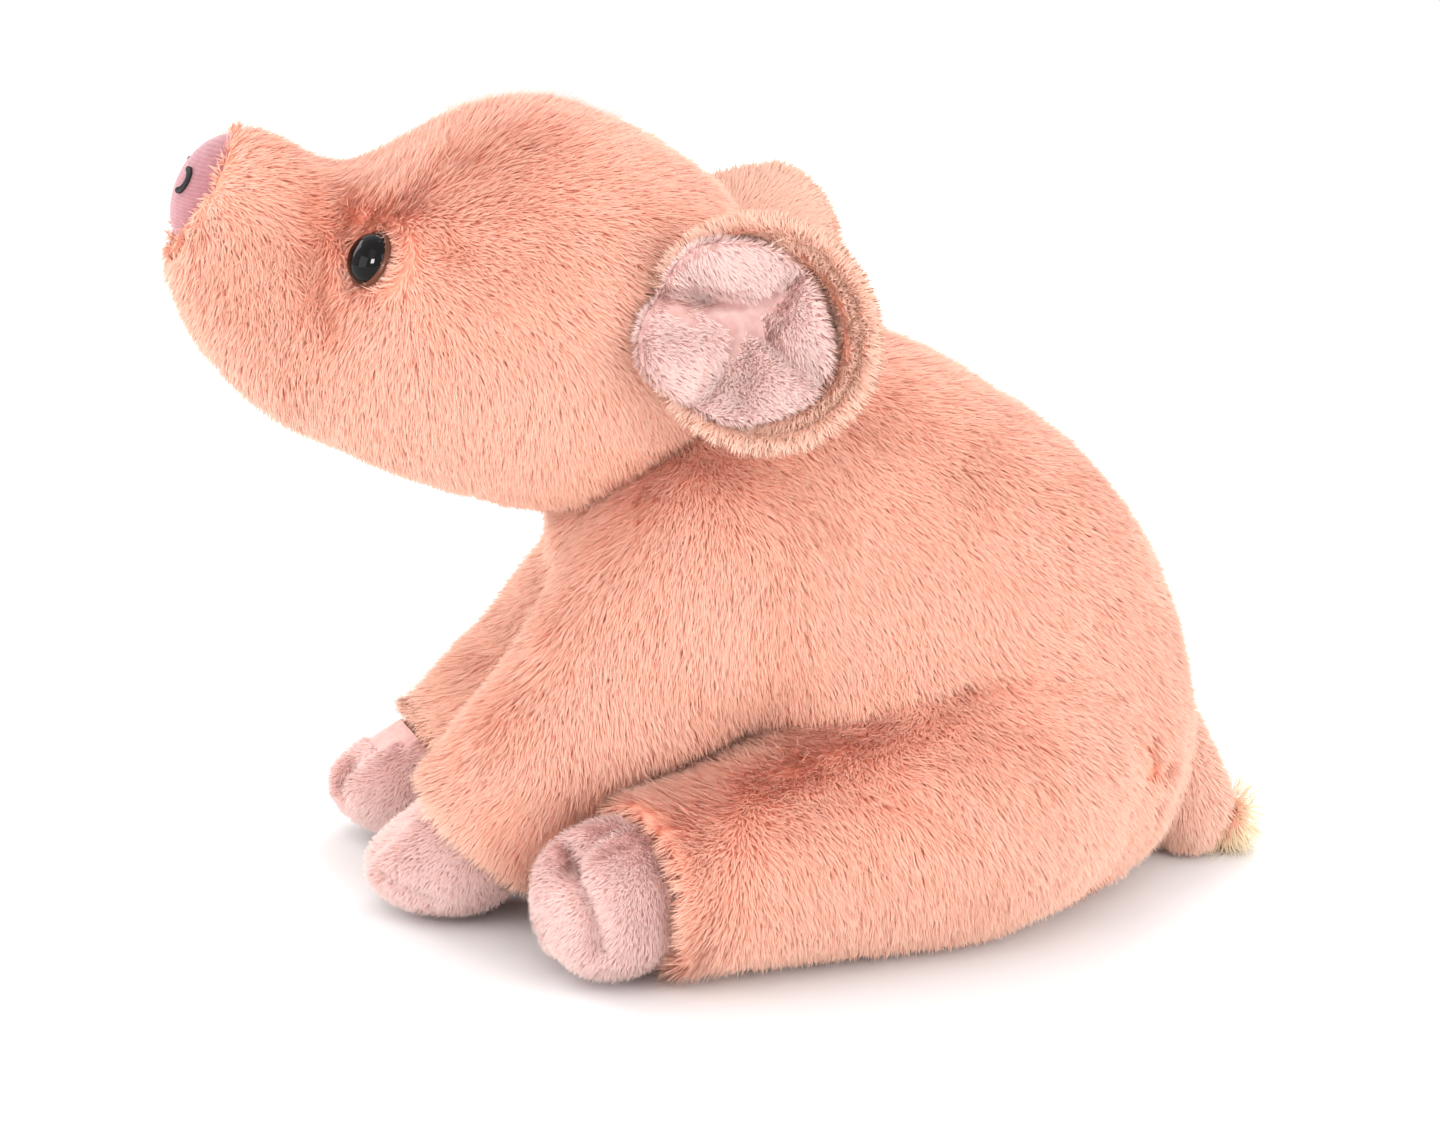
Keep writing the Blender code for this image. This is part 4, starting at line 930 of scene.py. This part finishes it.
# Eyes
def button_eye(side):
    """Polished dome with its brown rim behind it."""
    sign = SIDES[side]
    look = (RIGHT * (sign * math.cos(EYE_YAW) * math.cos(EYE_TILT))
            + FACING * (math.sin(EYE_YAW) * math.cos(EYE_TILT)) + CROWN * math.sin(EYE_TILT)).normalized()
    points = [v.co for v in frame["nodes"][f"eye_{side}"].data.vertices]
    crown = max(points, key=lambda p: p.dot(look))
    back = crown - look * (EYE_BULGE + 0.0010) - FACING * 0.0006 + CROWN * 0.0020
    turn = Matrix.Translation(back) @ look.to_track_quat('Z', 'Y').to_matrix().to_4x4()
    bpy.ops.object.select_all(action='DESELECT')
    bpy.ops.mesh.primitive_uv_sphere_add(segments=64, ring_count=32, radius=EYE_RADIUS * 0.90)
    dome = bpy.context.object
    dome.name = f"eye_dome_{side}"
    points = np.array([v.co for v in dome.data.vertices])
    low = points[:, 2] < 0.0
    points[:, 2] = np.where(low, points[:, 2] * 0.12, points[:, 2] * (EYE_BULGE / (EYE_RADIUS * 0.90)))
    points[:, 2] += 0.0010
    dome.data.vertices.foreach_set("co", points.astype(np.float32).ravel())
    dome.data.transform(turn)
    bpy.ops.object.shade_smooth()
    dome.data.materials.append(GLOSS)
    bpy.ops.object.select_all(action='DESELECT')
    bpy.ops.mesh.primitive_torus_add(major_radius=EYE_RADIUS * 0.90, minor_radius=0.00085,
                                     major_segments=96, minor_segments=16)
    rim = bpy.context.object
    rim.name = f"eye_rim_{side}"
    rim.data.transform(turn @ Matrix.Translation((0.0, 0.0, 0.0009)))
    bpy.ops.object.shade_smooth()
    rim.data.materials.append(RIM)
    return dome, rim


# Bodies and what each piece stands for
def dress(piece, rides=None, blends=None, nodes=()):
    if blends:
        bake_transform(piece)
    else:
        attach(piece, rides)
    if nodes:
        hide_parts(*nodes)


dress(body.piece, "body", nodes=("body_fur", "body_stuffing"))
dress(head.piece, "body", nodes=("head_fur", "head_stuffing"))
dress(nose.piece, "body", nodes=("nose_pad",))
for piece in body_pile + head_pile:
    dress(piece, "body")
for side in SIDES:
    dress(nostril(side), "body", nodes=(f"nostril_{side}",))
    dome, rim = button_eye(side)
    dress(dome, "body", nodes=(f"eye_{side}",))
    dress(rim, "body")
    frame["nodes"][f"eye_washer_{side}"].data.materials.clear()
    frame["nodes"][f"eye_washer_{side}"].data.materials.append(WASHER)
    for name, skins, hooves, joint in (("front", front, front_hoof, f"front_leg_{side}_swing"),
                                       ("rear", rear, rear_hoof, f"rear_leg_{side}_splay")):
        pivot = pivot_of(joint)
        foot = middle_of(f"{name}_hoof_{side}")
        along = foot - pivot
        span = ("body", f"{name}_leg_{side}", pivot + along * 0.05, pivot + along * 0.50)
        dress(skins[side].piece, blends=span, nodes=(f"{name}_leg_{side}",))
        for piece in leg_pile[name, side]:
            dress(piece, blends=span)
        dress(hooves[side].piece, f"{name}_leg_{side}", nodes=(f"{name}_hoof_{side}",))
        for piece in plush_pile[name, side]:
            dress(piece, f"{name}_leg_{side}")
    pivot = pivot_of(f"ear_{side}_fold")
    out = (middle_of(f"ear_back_{side}") - pivot).normalized()
    span = ("body", f"ear_{side}", pivot - out * 0.002, pivot + out * 0.010)
    dress(ear[side].piece, blends=span, nodes=(f"ear_back_{side}",))
    for piece in ear_pile[side]:
        dress(piece, blends=span)
    dress(lining[side].piece, blends=span, nodes=(f"ear_lining_{side}",))
    for piece in lining_pile[side]:
        dress(piece, blends=span)
pivot = pivot_of("tail_swing")
span = ("body", "tail", pivot, pivot + Vector((0.003, 0.0, -0.012)))
dress(tail.piece, blends=span, nodes=("tail",))
for piece in tail_pile:
    dress(piece, blends=span)
dress(tuft.piece, "tail", nodes=("tail_tuft",))
for piece in tuft_pile:
    dress(piece, "tail")


# Studio
def studio():
    """Pale floor, white surround, and lamps; the catch lamp only glints in the near eye."""
    bpy.ops.object.select_all(action='DESELECT')
    bpy.ops.mesh.primitive_circle_add(vertices=96, radius=FLOOR_RADIUS, fill_type='NGON',
                                      location=(0.0, 0.0, 0.0))
    floor = bpy.context.object
    floor.name = "studio_floor"
    material, tree, shader = new_material("studio_white", 0.9)
    shader.inputs["Base Color"].default_value = (0.98, 0.98, 0.98, 1.0)
    floor.data.materials.append(material)
    world = bpy.data.worlds.new("studio")
    world.use_nodes = True
    bpy.context.scene.world = world
    nodes, links = world.node_tree.nodes, world.node_tree.links
    nodes["Background"].inputs["Color"].default_value = (1.0, 1.0, 1.0, 1.0)
    path = nodes.new('ShaderNodeLightPath')
    seen = path.outputs["Is Camera Ray"]
    for kind in ("Is Glossy Ray", "Is Transmission Ray"):
        either = nodes.new('ShaderNodeMath')
        either.operation = 'MAXIMUM'
        links.new(seen, either.inputs[0])
        links.new(path.outputs[kind], either.inputs[1])
        seen = either.outputs[0]
    strength = nodes.new('ShaderNodeMapRange')
    strength.inputs["To Min"].default_value = 1.10
    strength.inputs["To Max"].default_value = 1.0
    links.new(seen, strength.inputs["Value"])
    links.new(strength.outputs["Result"], nodes["Background"].inputs["Strength"])
    dome = Skin(bpy.data.objects["eye_dome_left"])
    glint = dome.tree.ray_cast(EYE_POINT, (seen_point(dome.tree, 372, 261) - EYE_POINT).normalized())
    ray = (glint[0] - EYE_POINT).normalized()
    mirrored = ray - glint[1] * (2.0 * ray.dot(glint[1]))
    for name, place, size, power in (("key", (-0.9, -1.0, 1.3), 0.9, 2.0),
                                     ("catch", tuple(glint[0] + mirrored * 1.0), 0.30, 15.0),
                                     ("front", (-1.5, -0.5, 0.35), 0.9, 5.5),
                                     ("fill", (0.9, -1.1, 0.7), 0.9, 7.5),
                                     ("back", (0.5, 1.2, 1.0), 0.9, 10.5),
                                     ("rim", (-1.1, 0.9, 0.7), 0.7, 6.5)):
        data = bpy.data.lights.new(name, 'AREA')
        data.size = size
        data.energy = power
        lamp = bpy.data.objects.new(name, data)
        lamp.location = place
        lamp.visible_diffuse = name != "catch"
        lamp.rotation_euler = (Vector((-0.06, 0.0, 0.09)) - Vector(place)).to_track_quat('-Z', 'Y').to_euler()
        bpy.context.scene.collection.objects.link(lamp)
    bpy.context.scene.view_settings.view_transform = 'Standard'


studio()
